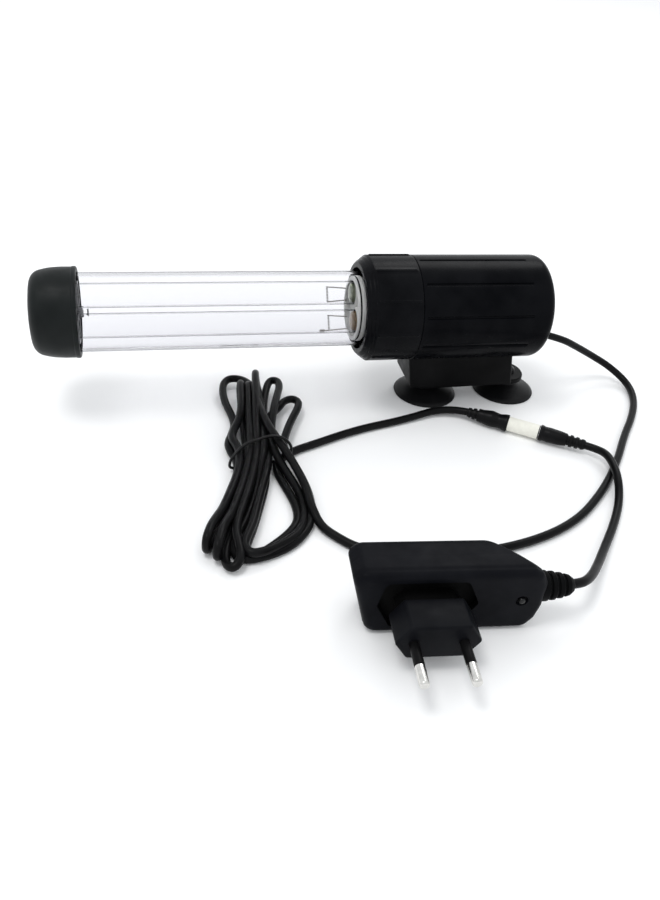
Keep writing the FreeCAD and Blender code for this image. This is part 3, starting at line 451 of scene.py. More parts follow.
# The hank: top and bottom loops in turn, all through the tie but for the last strand. Its heights
# are those of a stack of cords HANK_DRAWN_WIDE across. HANK_LINE raises them in proportion for a
# wider cord, to a tenth of a millimetre, and keeps it HANK_LOWEST or more above the surface.
HANK_DRAWN_WIDE = 3.5
HANK_LOWEST = LEAD_WIDE / 2 + 0.1
HANK_FOLDS = [
    # up the outer side of the right-hand arc and through the tie
    (-8.3, -113.6, 1.85), (-11.6, -107.5, 2.3), (-13.3, -101, 4.2), (-13.9, -94, 5.1), (-13.7, -86, 5.1),
    (-15, -77, 5.4), (-17.6, -68, 7.2), (-20.6, -60, 9.2), (-23, -52, 9.7),
    # first top loop, wide open to the left, bulging out before the tie
    (-25, -42, 9.3), (-26.6, -29, 9), (-27.4, -14, 7.8), (-27.2, -3, 6.4), (-28, 5.5, 4.6),
    (-32, 11.8, 4), (-37.8, 13.6, 3.6), (-41.6, 9.8, 3.2), (-43, 1, 3), (-42.7, -10, 3), (-40.6, -22, 3.2),
    (-40.2, -31, 3.1), (-43, -39.5, 3), (-45.4, -46, 3.2), (-44.8, -53, 3.3), (-42.3, -61, 3.2),
    # first bottom loop, a narrow fold standing on edge at the far left
    (-43.8, -72, 2.4), (-47.4, -84, 1.9), (-51.3, -95, 1.85), (-55.6, -105, 1.85), (-59.4, -112.5, 1.85),
    (-62.4, -120.2, 1.9), (-62.4, -120.2, 8.7), (-59.9, -112.5, 8.7), (-56.6, -105.5, 7.6),
    (-53.2, -98, 5.8),
    (-49, -87, 5.3), (-44.7, -76, 5.6), (-41.4, -65, 6.6), (-41.4, -55, 6.9), (-43.6, -47.5, 6.6),
    (-42.3, -41, 6.5), (-38.6, -33, 7),
    # second top loop, a fold standing on edge
    (-36.2, -24, 7.8), (-34.6, -12, 8.4), (-33.4, 2.3, 8.7), (-33.5, 2.3, 1.9), (-34.4, -11, 1.9),
    (-35.4, -28, 2), (-36.5, -42, 2.8), (-37.4, -56, 3.4),
    # second bottom loop
    (-39.8, -68, 2.8), (-43.4, -80, 2), (-47.3, -92, 1.9), (-51.6, -104, 1.85), (-55, -114, 1.85),
    (-58.4, -125.4, 1.9), (-58.4, -125.4, 8.7), (-55.8, -116.5, 8.7), (-53.4, -109.5, 7.6),
    (-50, -102, 5.8),
    (-46, -91, 5.3), (-41.8, -79, 5.4), (-38.4, -68, 6.4), (-35.6, -56, 6.9),
    # third top loop
    (-34.3, -44, 7), (-32.8, -30, 7.6), (-31.2, -14, 8.3), (-29.5, 0.7, 8.7), (-29.6, 0.7, 1.9),
    (-30.8, -13, 1.9), (-32.1, -30, 2), (-33.2, -43, 2.8), (-33.9, -56, 3.4),
    # third bottom loop, the longest, its two sides apart
    (-36.3, -68, 2.8), (-39.9, -80, 2), (-44, -92, 1.9), (-48.4, -104, 1.85), (-52, -114, 1.85),
    (-54.4, -120.5, 1.9), (-55.3, -128.6, 2.2), (-52.2, -132.6, 3.2), (-48.6, -128.2, 4.6),
    (-48.8, -120.5, 5.3),
    (-49.2, -112.5, 5.3), (-46.8, -103, 5.3), (-42.6, -92, 5.3), (-38.6, -80, 5.4), (-35, -68, 6.4),
    (-32.1, -56, 6.9),
    # fourth top loop
    (-31, -44, 7.4), (-29.4, -30, 9), (-27.4, -13, 10.4), (-24.8, 8.4, 11), (-24.2, 8.4, 4.4),
    (-24.4, -6, 4.6), (-25.2, -20, 5.2), (-26.6, -33, 5.7), (-27.8, -45, 6.4), (-28.9, -56, 6.9),
    # round the outer arc
    (-31.9, -66, 5.9), (-34.7, -76, 2.9), (-37.6, -86, 2), (-41.2, -96, 1.9), (-45.1, -105, 1.85),
    (-49, -112, 1.85), (-51, -118.6, 1.9), (-50.2, -124.8, 1.9), (-45.4, -126.4, 1.85),
    (-39.4, -125.4, 1.85), (-32.6, -123.2, 1.85), (-26.0, -119.6, 1.85), (-20.2, -114.2, 1.85),
    (-15.9, -107.6, 1.85), (-13.2, -98, 1.85), (-12.2, -88, 1.85), (-13, -77, 2), (-15.8, -67, 4),
    (-18.6, -59.5, 5.6), (-19.3, -53.5, 5.7),
    # fifth top loop, leaning to the right
    (-16.8, -45, 5.4), (-13.2, -35.5, 5.1), (-9.4, -27, 5), (-6.1, -20.4, 5), (-4.5, -14.4, 5),
    (-7.6, -10.6, 4.7), (-12.4, -12.4, 4.3), (-15.4, -17.4, 4), (-18.6, -20.6, 3.6), (-21.9, -25, 3.4),
    (-23.3, -34, 3.2),
    (-25, -45, 3.3), (-26.9, -56, 3.4),
    # round the middle arc
    (-28.3, -66, 5.4), (-31.2, -76, 5.4), (-34.8, -87, 5.3), (-38.2, -98, 5.3), (-41.2, -108, 5.3),
    (-44.2, -114.5, 5.2), (-47, -121.4, 5.1), (-44.6, -126.8, 5), (-38.6, -125.6, 4.7),
    (-33.2, -122.4, 4.2),
    (-27.2, -118.6, 3.8), (-21.8, -113.6, 3.3), (-18, -105.5, 2.6), (-16.3, -96, 1.95),
    (-16.4, -86, 1.95), (-18.9, -76, 2.8), (-22.4, -66, 4.8), (-24.6, -56, 6.3),
    # sixth top loop
    (-23.8, -46, 6.6), (-22.3, -35, 6.9), (-18.4, -20, 7.4), (-15.2, -9.5, 7), (-12.8, -1.4, 6.7),
    (-13, 4.6, 6.4),
    (-17.2, 6.2, 5.8), (-20.2, -1.5, 4.8), (-22.8, -12, 3.2), (-24.6, -24, 2.3), (-27, -36, 2.4),
    (-29, -46, 3), (-30.4, -56, 3.4),
    # round the inner arc and out under the arcs to the jack
    (-29.8, -66, 2.2), (-30.8, -76, 1.9), (-33.8, -86, 1.9), (-37.3, -96.5, 1.9), (-40.9, -107, 1.85),
    (-43.4, -113, 1.85), (-46, -119.6, 1.85), (-43.8, -124.8, 1.85), (-38.8, -122.8, 1.85),
    (-34.2, -119.4, 1.85), (-29.2, -115.4, 1.85), (-24.3, -110.4, 1.85), (-20.8, -104.8, 1.85),
    (-19.7, -98, 1.85), (-20.2, -90, 1.85), (-22.3, -80, 1.85), (-24.4, -70, 1.85), (-23.6, -62, 1.85),
    (-19.4, -56.9, 1.85), (-12.3, -51.8, 1.85)]
HANK_LINE = [
    (x, y, max(HANK_LOWEST, round(z * LEAD_WIDE / HANK_DRAWN_WIDE, 1))) for x, y, z in HANK_FOLDS]
JACK_LINE = [
    (-4.0, -48.5, 2.15), (22.0, -37.0, 2.1), (50.0, -30.0, 2.1), (74.45, -22.1, 3.6),
    (85.27, -29.33, 4.7)]
ADAPTER_LINE = [
    (135.25, -62.52, 4.7), (141.4, -67.0, 4.9), (145.0, -75.5, 6.5), (141.6, -92.5, 6.4),
    (136.2, -106.5, 2.6), (125.6, -121.8, 2.15), (112.6, -137.4, 3.8), (100.8, -151.8, 7.8),
    (89.2, -164.8, 13.6), (80.2, -170.2, 16.6), (68.0, -169.6, 17.0)]
GLAND_EXIT = LEAD_LINE[0]


def line_length(curve):
    """Length of a curve object's own line, in metres."""
    bare = curve.data.copy()
    bare.bevel_depth = 0
    holder = bpy.data.objects.new("measure", bare)
    mesh = bpy.data.meshes.new_from_object(holder)
    long = sum((mesh.vertices[e.vertices[0]].co - mesh.vertices[e.vertices[1]].co).length for e in mesh.edges)
    bpy.data.objects.remove(holder)
    bpy.data.meshes.remove(mesh)
    return long


lamp_cord = cord_curve("lamp_cord", LEAD_LINE + HANK_LINE + JACK_LINE, LEAD_WIDE, "cord_rubber")
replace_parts(lamp_cord, "lamp_lead", "jack_lead", "cord_hank")
adapter_cord = cord_curve("adapter_cord", ADAPTER_LINE, LEAD_WIDE, "cord_rubber")
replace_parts(adapter_cord, "adapter_lead")


# ---------------------------------------------------------------- floor and light
FLOOR_TONE, SKY_TONE, SKY_POWER = 0.97, (0.96, 0.98, 1.0), 0.95
LIGHTS = (("key", (-0.5, -0.2, 1.5), 0.5, 7), ("back", (0.7, 1.0, 1.2), 0.6, 4))
LIGHT_AIM = (0, -0.05, 0)


def set_stage():
    """A pale floor, an even sky and two soft lights, each with its place, size in metres and power."""
    bm = bmesh.new()
    bmesh.ops.create_grid(bm, x_segments=1, y_segments=1, size=6)
    mesh = bpy.data.meshes.new("floor")
    bm.to_mesh(mesh)
    bm.free()
    floor = bpy.data.objects.new("floor", mesh)
    n = Nodes("floor_card")
    n.set(Base_Color=(FLOOR_TONE, FLOOR_TONE, FLOOR_TONE, 1), Roughness=0.9, Specular_IOR_Level=0.1)
    mesh.materials.append(n.material)
    scene.collection.objects.link(floor)
    world = bpy.data.worlds.new("studio")
    world.use_nodes = True
    sky = world.node_tree.nodes["Background"].inputs
    sky["Color"].default_value = (*SKY_TONE, 1)
    sky["Strength"].default_value = SKY_POWER
    scene.world = world
    scene.view_settings.view_transform = "Standard"
    for name, place, size, power in LIGHTS:
        data = bpy.data.lights.new(name, "AREA")
        data.shape = "SQUARE"
        data.size = size
        data.energy = power
        light = bpy.data.objects.new(name, data)
        light.location = place
        light.rotation_euler = (Vector(LIGHT_AIM) - Vector(place)).to_track_quat("-Z", "Y").to_euler()
        scene.collection.objects.link(light)


# ---------------------------------------------------------------- glass sleeve and cap
def make_sleeve():
    r, wall = SLEEVE_RADIUS, SLEEVE_WALL
    tip, mouth = GLASS_TIP, GLASS_MOUTH
    profile = rounded([
        (tip, 0), (tip, r, 5), (mouth - 3, r, 0.4), (mouth - 3, 21.5, 0.3), (mouth, 21.5, 0.3),
        (mouth, r - wall, 0.3), (tip + wall, r - wall, 3.6), (tip + wall, 0)], steps=7)
    made = piece("sleeve_glass", turned(profile, 128), LAMP, "quartz", "sleeve", stands_for=["glass_sleeve"])
    line_bore(made, r - wall / 2, "quartz_bore")
    gasket = rounded([(31.1, 19.05), (31.1, 23.5, 0.5), (36.95, 23.5, 0.5), (36.95, 19.05)])
    piece("sleeve_gasket_ring", turned(gasket, 96, closed=True), LAMP, "gasket_rubber", "sleeve",
          stands_for=["sleeve_gasket"])


def make_cap():
    outer, bore, lip = 21.6, 19.05, 0.25
    dome = CAP_TIP - 0.8
    profile = rounded([
        (dome, 0), (dome + 0.3, 10, 30), (dome + 1.6, outer - 2.4, 8.5), (CAP_TIP + 9, outer - 0.35, 30),
        (CAP_TIP + 15, outer, 30), (CAP_MOUTH - 2.4, outer, 0.5), (CAP_MOUTH - 2.0, outer + lip, 0.3),
        (CAP_MOUTH, outer + lip, 0.9), (CAP_MOUTH, bore, 0.5), (GLASS_TIP - 0.1, bore),
        (GLASS_TIP - 0.1, 0)], steps=8)
    piece("rubber_cap", turned(profile, 128), LAMP, "soft_rubber", "cap", stands_for=["end_cap"])


# ---------------------------------------------------------------- twin-tube lamp
END_SHIFT, FLOOR_DEPTH = 2.4, 2.6


def tube_place(side):
    """Where one tube's axis lies across and above the lamp's axis."""
    lean = math.radians(LAMP_TILT)
    return side * TUBE_OFFSET * math.sin(lean), side * TUBE_OFFSET * math.cos(lean) + TUBE_RISE


def make_lamp():
    tip, root = span("lamp_tubes", 0)
    r, wall = TUBE_RADIUS, TUBE_WALL
    tubes, stems = [], {}
    for side, name in ((1, "upper"), (-1, "lower")):
        y, z = tube_place(side)
        floor = root + END_SHIFT + FLOOR_DEPTH
        profile = rounded([(tip, 0), (tip, r, 5), (floor, r), (floor, r - wall), (tip + wall, r - wall, 4.2),
                           (tip + wall, 0)], steps=8)
        tubes.append(moved(turned(profile, 64), y=y, z=z))
        stems[name] = moved(turned(rounded([
            (floor - 3.6, 0), (floor - 3.4, 3.4, 0.8), (floor - 2.8, 4.9, 0.6), (floor, 5.1), (floor, 0)]),
            48), y=y, z=z)
    bridge = turned(rounded([(-1.8, 2.0, 0.6), (0, 2.0), (1.8, 2.0, 0.6)]), 32)
    tubes.append(moved(leaned(quarter_turned(bridge, "Y"), -LAMP_TILT), x=tip + BRIDGE_BACK))
    made = piece("lamp_twin_tubes", joined(*tubes), LAMP, "lamp_glass", "bulb", stands_for=["lamp_tubes"])
    line_bore(made, r - wall / 2, "lamp_glass_bore", [tube_place(1), tube_place(-1)])
    for name, look in (("upper", "stem_green"), ("lower", "stem_amber")):
        piece("lamp_stem_" + name, stems[name], LAMP, look, "bulb")
    make_filaments(root)
    make_base(root)


def rod(start, end, radius, segments=12):
    """A plain rod between two points of a seat."""
    start, end = Vector(start), Vector(end)
    way = end - start
    bm = turned([(0, 0), (0, radius), (way.length, radius), (way.length, 0)], segments)
    bmesh.ops.rotate(bm, cent=(0, 0, 0), matrix=way.to_track_quat("X", "Z").to_matrix(), verts=bm.verts)
    return moved(bm, *start)


def make_filaments(root):
    """Two lead wires in each tube with a coil across their ends, and a small flag on the lower pair."""
    parts = []
    lean = math.radians(LAMP_TILT)
    spread, reach, turns = 3.8, 10.0, 11

    def place(side, out, x):
        far = side * TUBE_OFFSET + out
        return x, far * math.sin(lean), far * math.cos(lean)

    for side in (1, -1):
        for out in (-spread, spread):
            parts.append(rod(place(side, out * 0.8, root), place(side, out, root - reach), 0.32))
        for k in range(turns):
            ring = turned([(-0.18, 0.45), (0, 0.65), (0.18, 0.45), (0, 0.3)], 12, closed=True)
            out = -spread + 2 * spread * k / (turns - 1)
            coil = leaned(quarter_turned(ring, "Y"), -LAMP_TILT)
            parts.append(moved(coil, *place(side, out, root - reach)))
    parts.append(rod(place(-1, -spread, root - reach), place(-1, -spread - 0.3, root - reach - 4.6), 0.32))
    flag = slab([(-1.3, -0.9), (1.3, -0.9), (1.3, 0.9), (-1.3, 0.9)], -0.15, 0.15)
    parts.append(moved(leaned(flag, 20), *place(-1, -spread - 0.2, root - reach - 3.6)))
    piece("lamp_filament_wires", joined(*parts), LAMP, "filament_metal", "bulb",
          stands_for=["lamp_filaments"])


def make_base(root):
    """The pale end of the lamp: a rimmed dish with a collar round each tube, its heel and post."""
    face = root + END_SHIFT
    floor = face + FLOOR_DEPTH
    back = floor + 1.2
    disc = turned(rounded([
        (floor, 0), (floor, 13.8, 0.4), (face - 0.1, 14.2, 0.3), (face - 0.1, 16.3, 0.5),
        (face + 0.9, 16.6, 0.4), (face + 0.9, 14.8, 0.2), (face + 1.7, 14.8, 0.2), (face + 1.7, 16.6, 0.3),
        (back, 16.6, 0.3), (back, 0)]), 96)
    parts = [disc]
    for side in (1, -1):
        y, z = tube_place(side)
        collar = turned(rounded([(floor + 0.1, 6.05), (floor - 1.6, 6.05, 0.2), (floor - 1.6, 6.9, 0.4),
                                 (floor + 0.1, 7.3)]), 64)
        parts.append(moved(collar, y=y, z=z))
    for low, high, half_thick, half_wide in ((back - 0.1, 44.0, 8.5, 14.2), (44.0, 62.0, 5.0, 6.0)):
        body = slab(rounded([(low, -half_wide, 1), (high, -half_wide, 1), (high, half_wide, 1),
                             (low, half_wide, 1)], True), -half_thick, half_thick, 0.8, 0.8)
        parts.append(leaned(body, -LAMP_TILT))
    piece("lamp_end", joined(*parts), LAMP, "lamp_plastic", "bulb", stands_for=["lamp_base"])
    # A dark ring down in the groove: painted shade in place of the groove's shadow.
    groove = turned([
        (face + 0.9, 14.7), (face + 0.9, 16.3), (face + 1.7, 16.3), (face + 1.7, 14.7)], 96, closed=True)
    piece("lamp_end_groove", groove, LAMP, "painted_shade_dark", "bulb")


# ---------------------------------------------------------------- clamp ring and rear housing
RIBS = dict(count=10, first=21.0)
GROOVES = dict(count=10, first=39.0)
LINE_HALF_WIDE, OUTER_SKIN = 0.75, 26.9


def line_angles(count, first, base=96):
    """Angles round the axis, with extra ones at the edges of each of count lengthwise lines."""
    half_turn = LINE_HALF_WIDE / SHELL_RADIUS
    angles = set(round(a, 5) for a in even_angles(base))
    for k in range(count):
        centre = math.radians(first + 360 / count * k) + math.pi / 2
        for step in (-1.35, -1.0, -0.55, 0, 0.55, 1.0, 1.35):
            a = (centre + step * half_turn) % (2 * math.pi)
            angles = set(b for b in angles if abs(b - a) > 0.25 * half_turn)
            angles.add(a)
    return sorted(angles)


def line_depth(count, first, start, end, depth):
    """How far the surface rises at a lengthwise line, as a function of place and angle."""
    def rise(x, angle):
        if not start < x < end:
            return 0.0
        nearest = min(
            abs((angle - math.pi / 2 - math.radians(first + 360 / count * k) + math.pi) % (2 * math.pi)
                - math.pi) for k in range(count)) * SHELL_RADIUS / LINE_HALF_WIDE
        along = min(1.0, (x - start) / 0.8, (end - x) / 0.8)
        across = min(1.0, max(0.0, (1.1 - nearest) / 0.5))
        return depth * along * across
    return rise


def stations(start, end, *extra):
    """Places along a straight stretch: its ends and a few more near them."""
    return [(x, SHELL_RADIUS) for x in sorted({start, end, *extra})]


def make_ring():
    f = RING_FRONT
    rib_start, rib_end = f + 4.8, RING_BACK - 0.9
    front = rounded([
        (f, 20.8), (f, 23.2, 0.9), (f + 1.5, 24.7, 0.5), (f + 2.0, 24.8, 0.3), (f + 3.2, 26.0, 0.5),
        (f + 3.7, 26.1, 0.3), (f + 4.6, SHELL_RADIUS, 1.2), (f + 4.75, SHELL_RADIUS)], steps=5)
    body = stations(rib_start, rib_end, rib_start + 0.4, rib_start + 0.8, rib_end - 0.8, rib_end - 0.4)
    back = rounded([(RING_BACK - 0.5, SHELL_RADIUS), (RING_BACK - 0.05, SHELL_RADIUS - 0.1, 0.2),
                    (RING_BACK - 0.05, 24.0), (31.0, 24.0), (31.0, 20.8, 0.3)], steps=3)
    rise = line_depth(start=rib_start, end=rib_end, depth=0.6, **RIBS)
    bm = turned(front + body + back, line_angles(**RIBS), closed=True,
                shape=lambda x, r, a: r + (rise(x, a) if r > OUTER_SKIN else 0))
    piece("clamp_collar", bm, LAMP, "ring_abs", "ring", stands_for=["clamp_ring"], crease=28)


def make_shell():
    start, end = 54.6, 112.6
    neck = [(SHELL_NECK, 20.5), (SHELL_NECK, 23.93), (52.95, 23.93), (52.95, SHELL_RADIUS - 0.35),
            (53.2, SHELL_RADIUS)]
    body = stations(start, end, start + 0.4, start + 0.8, end - 0.8, end - 0.4)
    back = rounded([(end + 1, SHELL_RADIUS), (SHELL_BACK, SHELL_RADIUS, 8.5), (SHELL_BACK, 0)], steps=10)
    bore = [(121, 0), (121, 22.4), (119, 24.4), (60, 24.4), (60, 20.5)]
    rise = line_depth(start=start, end=end, depth=-0.8, **GROOVES)
    outside = turned(neck + body + back, line_angles(**GROOVES),
                     shape=lambda x, r, a: r + (rise(x, a) if r > OUTER_SKIN else 0))
    inside = turned(bore + neck[:1], 96)
    piece("housing_shell", joined(outside, inside), LAMP, "housing_abs", stands_for=["rear_housing"],
          crease=28)


def make_gland():
    profile = rounded([
        (119, 0), (119, 4.6, 0.4), (121, 4.6), (121, 3.4), (125, 3.4), (125, 4.6), (127.2, 4.6, 0.6),
        (128.2, 3.7, 0.5), (133, 2.6, 0.5), (133, 1.8), (126, 1.8)], steps=5)
    piece("gland_boot", turned(profile, 48), seat(0, 0, GLAND_EXIT[2]), "soft_rubber",
          stands_for=["cable_gland"])


# ---------------------------------------------------------------- bracket and suction cups
def make_bracket():
    """A saddle that hugs the housing, on a plate with a round end over each cup."""
    half, top_x, foot_x = 14.0, (53.4, 112.0), (56.4, 115.0)
    low, high = span("bracket", 2)[0], span("bracket", 2)[0] + 3.0
    bm = bmesh.new()
    steps = 14
    rows = []
    for k in range(steps + 1):
        y = -half + 2 * half * k / steps
        arc = AXIS_HEIGHT - math.sqrt((SHELL_RADIUS - 0.1) ** 2 - y * y)
        rows.append([bm.verts.new(p) for p in (
            (foot_x[0], y, high - 0.2), (foot_x[1], y, high - 0.2), (top_x[1], y, arc), (top_x[0], y, arc))])
    for one, two in zip(rows, rows[1:]):
        for k in range(4):
            m = (k + 1) % 4
            bm.faces.new((one[k], one[m], two[m], two[k]))
    bm.faces.new(rows[0])
    bm.faces.new(rows[-1])
    bmesh.ops.recalc_face_normals(bm, faces=bm.faces)
    corners = [e for e in bm.edges if len({round(v.co.y, 3) for v in e.verts}) == 1
               and abs(abs(e.verts[0].co.y) - half) < 1e-3 and abs(e.verts[0].co.z - e.verts[1].co.z) > 5]
    bmesh.ops.bevel(bm, geom=corners, offset=1.4, segments=5, profile=0.5, affect="EDGES")
    plate_start, plate_end = CUP_PLACES["front"] - 12, CUP_PLACES["back"] + 9
    plate = slab(rounded([
        (plate_start, -12, 7), (plate_end, -10, 9.5), (plate_end, 10, 9.5), (plate_start, 12, 7)],
        True, 10), low, high, 0.6, 0.6)
    piece("bracket_saddle", joined(bm, quarter_turned(plate, "X")), seat(0, 0, 0), "bracket_plastic",
          stands_for=["bracket"])


def make_cups():
    rim, stud = 17.4, 3.2
    profile = rounded([
        (2.4, 0), (2.1, 9, 20), (0.05, rim - 1.2, 0.3), (0, rim - 0.3, 0.2), (0.6, rim, 0.3), (2.0, 15.6, 6),
        (4.2, 9.4, 8), (6.0, 6.2, 1.5), (8.9, 5.4, 0.5), (8.9, stud), (12.05, stud), (12.05, 4.6, 0.3),
        (13.6, 4.6, 0.8), (14.8, 3.0, 0.6), (14.8, 0)], steps=6)
    for side, x in CUP_PLACES.items():
        piece("cup_" + side + "_rubber", turned(profile, 96), seat(x, 0, 0, upright=True), "cup_rubber",
              "cup_" + side, stands_for=["suction_cup_" + side])


# ---------------------------------------------------------------- inline connector
def make_connector():
    tail = -22.0
    jack = rounded([
        (tail, 1.6), (tail, 2.5, 0.3), (tail + 1.8, 2.7, 0.3), (tail + 1.8, 2.2, 0.2), (tail + 2.8, 2.2, 0.2),
        (tail + 2.8, 3.0, 0.3), (tail + 4.6, 3.2, 0.3), (tail + 4.6, 2.4, 0.2), (tail + 5.6, 2.4, 0.2),
        (tail + 5.6, 3.5, 0.4), (tail + 8, 3.6, 1.5), (-9, 4.4, 4), (-5, 3.7, 4), (-1.5, 4.5, 1.5),
        (0, 4.6, 0.3), (0, 3.55), (16.8, 3.55), (16.8, 2.85), (5, 2.85), (5, 0)], steps=5)
    piece("jack_moulding", turned(jack, 64), JOIN, "connector_plastic", stands_for=["jack_body"])
    label = rounded([(0.2, 3.58), (0.2, 3.8, 0.08), (16.4, 3.8, 0.08), (16.4, 3.58)])
    piece("jack_label_wrap", turned(label, 64, closed=True), JOIN, "label_paper", stands_for=["jack_label"])
    plug = rounded([
        (17, 0), (17, 4.2, 0.4), (18.2, 4.2, 0.6), (19.4, 3.8, 1), (22, 4.0, 2), (28, 3.7, 2),
        (31.2, 3.3, 0.6), (31.6, 2.6, 0.2), (32.6, 2.6, 0.2), (32.8, 3.3, 0.3), (34.4, 3.2, 0.3),
        (34.6, 2.5, 0.2),
        (35.6, 2.5, 0.2), (35.8, 3.1, 0.3), (37.4, 3.0, 0.3), (37.6, 2.4, 0.2), (38.6, 2.4, 0.2),
        (38.8, 2.9, 0.3), (40.2, 2.7, 0.4), (41, 2.2, 0.3), (41, 1.5)], steps=5)
    piece("plug_moulding", turned(plug, 64), JOIN, "connector_plastic", stands_for=["plug_body"])


# ---------------------------------------------------------------- wall adapter
BOX_LEFT, BOX_RIGHT, BOX_HIGH, BOX_DEEP = -30.0, 47.0, 31.0, 21.5
BLOCK_REACH, POCKET_DEEP, PIN_LEVEL = 19.0, 4.0, 15.5
HEAD_GAP, NECK_INSET = 4.6, 3.2
PIN_RADIUS, PIN_LONG, PIN_SPREAD = 2.0, 19.0, 9.5
LED_PLACE = (37.3, 0, 16.0)
BOOT_DEPTH, BOOT_LEVEL = 7.0, 17.0


def hexagon(grow, soft):
    wide, narrow = 16.6 + grow, 11.4 + grow * 0.6
    bottom, top = 7.5 - grow, 23.5 + grow
    return rounded([
        (-narrow, bottom, soft), (narrow, bottom, soft), (wide, PIN_LEVEL, soft), (narrow, top, soft),
        (-narrow, top, soft), (-wide, PIN_LEVEL, soft)], True, 4)


def pocket():
    """The recess round the plug block, wider at the top than the block."""
    wide, top_wide, bottom_wide, bottom, top = 20.0, 17.5, 14.0, 4.1, 26.9
    return rounded([
        (-bottom_wide, bottom, 1.4), (bottom_wide, bottom, 1.4), (wide, PIN_LEVEL, 1.4),
        (top_wide - 3, top, 3), (-top_wide, top, 3), (-wide, PIN_LEVEL, 1.4)], True, 4)


TAPER_START, TAPER_DEEP, TAPER_POWER = 24.0, 2.0, 1.5


def right_limit(depth):
    """How far right the case reaches at a depth: its back right corner falls away to the cord."""
    fall = max(0.0, (depth - TAPER_DEEP) / (BOX_DEEP - TAPER_DEEP)) ** TAPER_POWER
    return TAPER_START + (BOX_RIGHT - TAPER_START) * (1 - fall)


def case_part(outline, rings):
    """A part of the case: its outline at a row of (depth, inset), squeezed to the tapered right side."""
    bm = bmesh.new()
    across, up = (BOX_LEFT + BOX_RIGHT) / 2, BOX_HIGH / 2
    half_across, half_up = (BOX_RIGHT - BOX_LEFT) / 2, BOX_HIGH / 2
    rows = []
    for depth, inset in rings:
        row = []
        for a, b in outline:
            a = across + (a - across) * (1 - inset / half_across)
            b = up + (b - up) * (1 - inset / half_up)
            bend = TAPER_START - 8
            if a > bend:
                a = bend + (a - bend) * (right_limit(depth) - bend) / (BOX_RIGHT - bend)
            row.append(bm.verts.new((a, depth, b)))
        rows.append(row)
    count = len(outline)
    for one, two in zip(rows, rows[1:]):
        for k in range(count):
            m = (k + 1) % count
            bm.faces.new((one[k], one[m], two[m], two[k]))
    bm.faces.new(rows[0])
    bm.faces.new(rows[-1])
    bmesh.ops.recalc_face_normals(bm, faces=bm.faces)
    return bm


def edge_round(start, radius, way, steps=6):
    """Rings (depth, inset) of a rounded rim: way is 1 from a front face and -1 towards a back one."""
    rings = []
    for k in range(steps + 1):
        a = math.pi / 2 * k / steps
        rings.append((start + way * radius * (1 - math.cos(a)), radius * (1 - math.sin(a))))
    return rings if way > 0 else rings[::-1]


def make_adapter():
    left, right, high, deep = BOX_LEFT, BOX_RIGHT, BOX_HIGH, BOX_DEEP
    outline = rounded([
        (left + 9, 0, 3), (right - 5, 0, 4), (right - 1.5, 5, 4), (right, 12, 5), (right, 24, 5),
        (right - 2.5, 29, 3), (right - 6, high, 4), (left + 3.5, high, 4), (left, high - 3.5, 3),
        (left + 6.5, 2.5, 3)], True, 5)
    seam, step = deep * 0.5, 0.22
    lid = [(d, i + step) for d, i in edge_round(0, 2.8, 1)] + [(3.6, step), (4.2, 0)]
    front = lid + [(d, 0) for d in (5.5, 7, 9, seam - 0.3)] + [(seam, 0.02)]
    back = [(seam + 0.01, 0.02), (seam + 0.3, 0)] + [(d, 0) for d in (12.5, 14, 15.5)]
    back += edge_round(deep, 4.5, -1, 8)
    made = piece("adapter_front_shell", case_part(outline, front), BOX, "adapter_plastic",
                 stands_for=["adapter_front"], crease=40)
    carve(made, cutter("pocket_cutter", slab(pocket(), -2, POCKET_DEEP - 0.1), BOX))
    shade_pocket(made)
    well = turned([(-1, 0), (-1, 2.7), (1.2, 2.4), (1.2, 0)], 40)
    carve(made, cutter("led_cutter", moved(quarter_turned(well, "Z"), *LED_PLACE), BOX))
    piece("adapter_back_shell", case_part(outline, back), BOX, "adapter_plastic", stands_for=["adapter_back"],
          crease=40)
    head = slab(hexagon(0, 1.6), -BLOCK_REACH, -HEAD_GAP, 1.0, 0.4, 4)
    piece("plug_block_shell", head, BOX, "block_plastic", stands_for=["plug_block"], crease=40)
    # The narrower neck wears the dark look: painted shade for the gap between the head and the pocket.
    neck = slab(hexagon(-NECK_INSET, 1.2), -HEAD_GAP - 0.5, POCKET_DEEP - 0.1)
    piece("plug_block_neck", neck, BOX, "painted_shade_dark", crease=40)


POCKET_REACH, POCKET_LOW, POCKET_TOP = 20.3, 3.9, 27.2


def shade_pocket(made):
    """Paints the recess walls near black: painted shade for the shadow inside the pocket."""
    into_box = BOX.inverted()
    made.data.materials.append(LOOKS["painted_shade_dark"])
    for face in made.data.polygons:
        across, depth, up = into_box @ face.center
        inside = abs(across) < POCKET_REACH and POCKET_LOW < up < POCKET_TOP
        if inside and 0.2 < depth < POCKET_DEEP + 0.2:
            face.material_index = 1


def cutter(name, bm, where):
    mesh = bpy.data.meshes.new(name)
    bm.to_mesh(mesh)
    bm.free()
    mesh.transform(where)
    made = bpy.data.objects.new(name, mesh)
    scene.collection.objects.link(made)
    return made


def carve(target, tool):
    """Cuts tool out of target, and removes the tool."""
    change = target.modifiers.new("carve", "BOOLEAN")
    change.operation = "DIFFERENCE"
    change.solver = "EXACT"
    change.object = tool
    bpy.context.view_layer.update()
    shape = bpy.data.meshes.new_from_object(target.evaluated_get(bpy.context.evaluated_depsgraph_get()))
    target.modifiers.clear()
    target.data = shape
    shape.shade_smooth()
    shape.set_sharp_from_angle(angle=math.radians(40))
    bpy.data.objects.remove(tool)


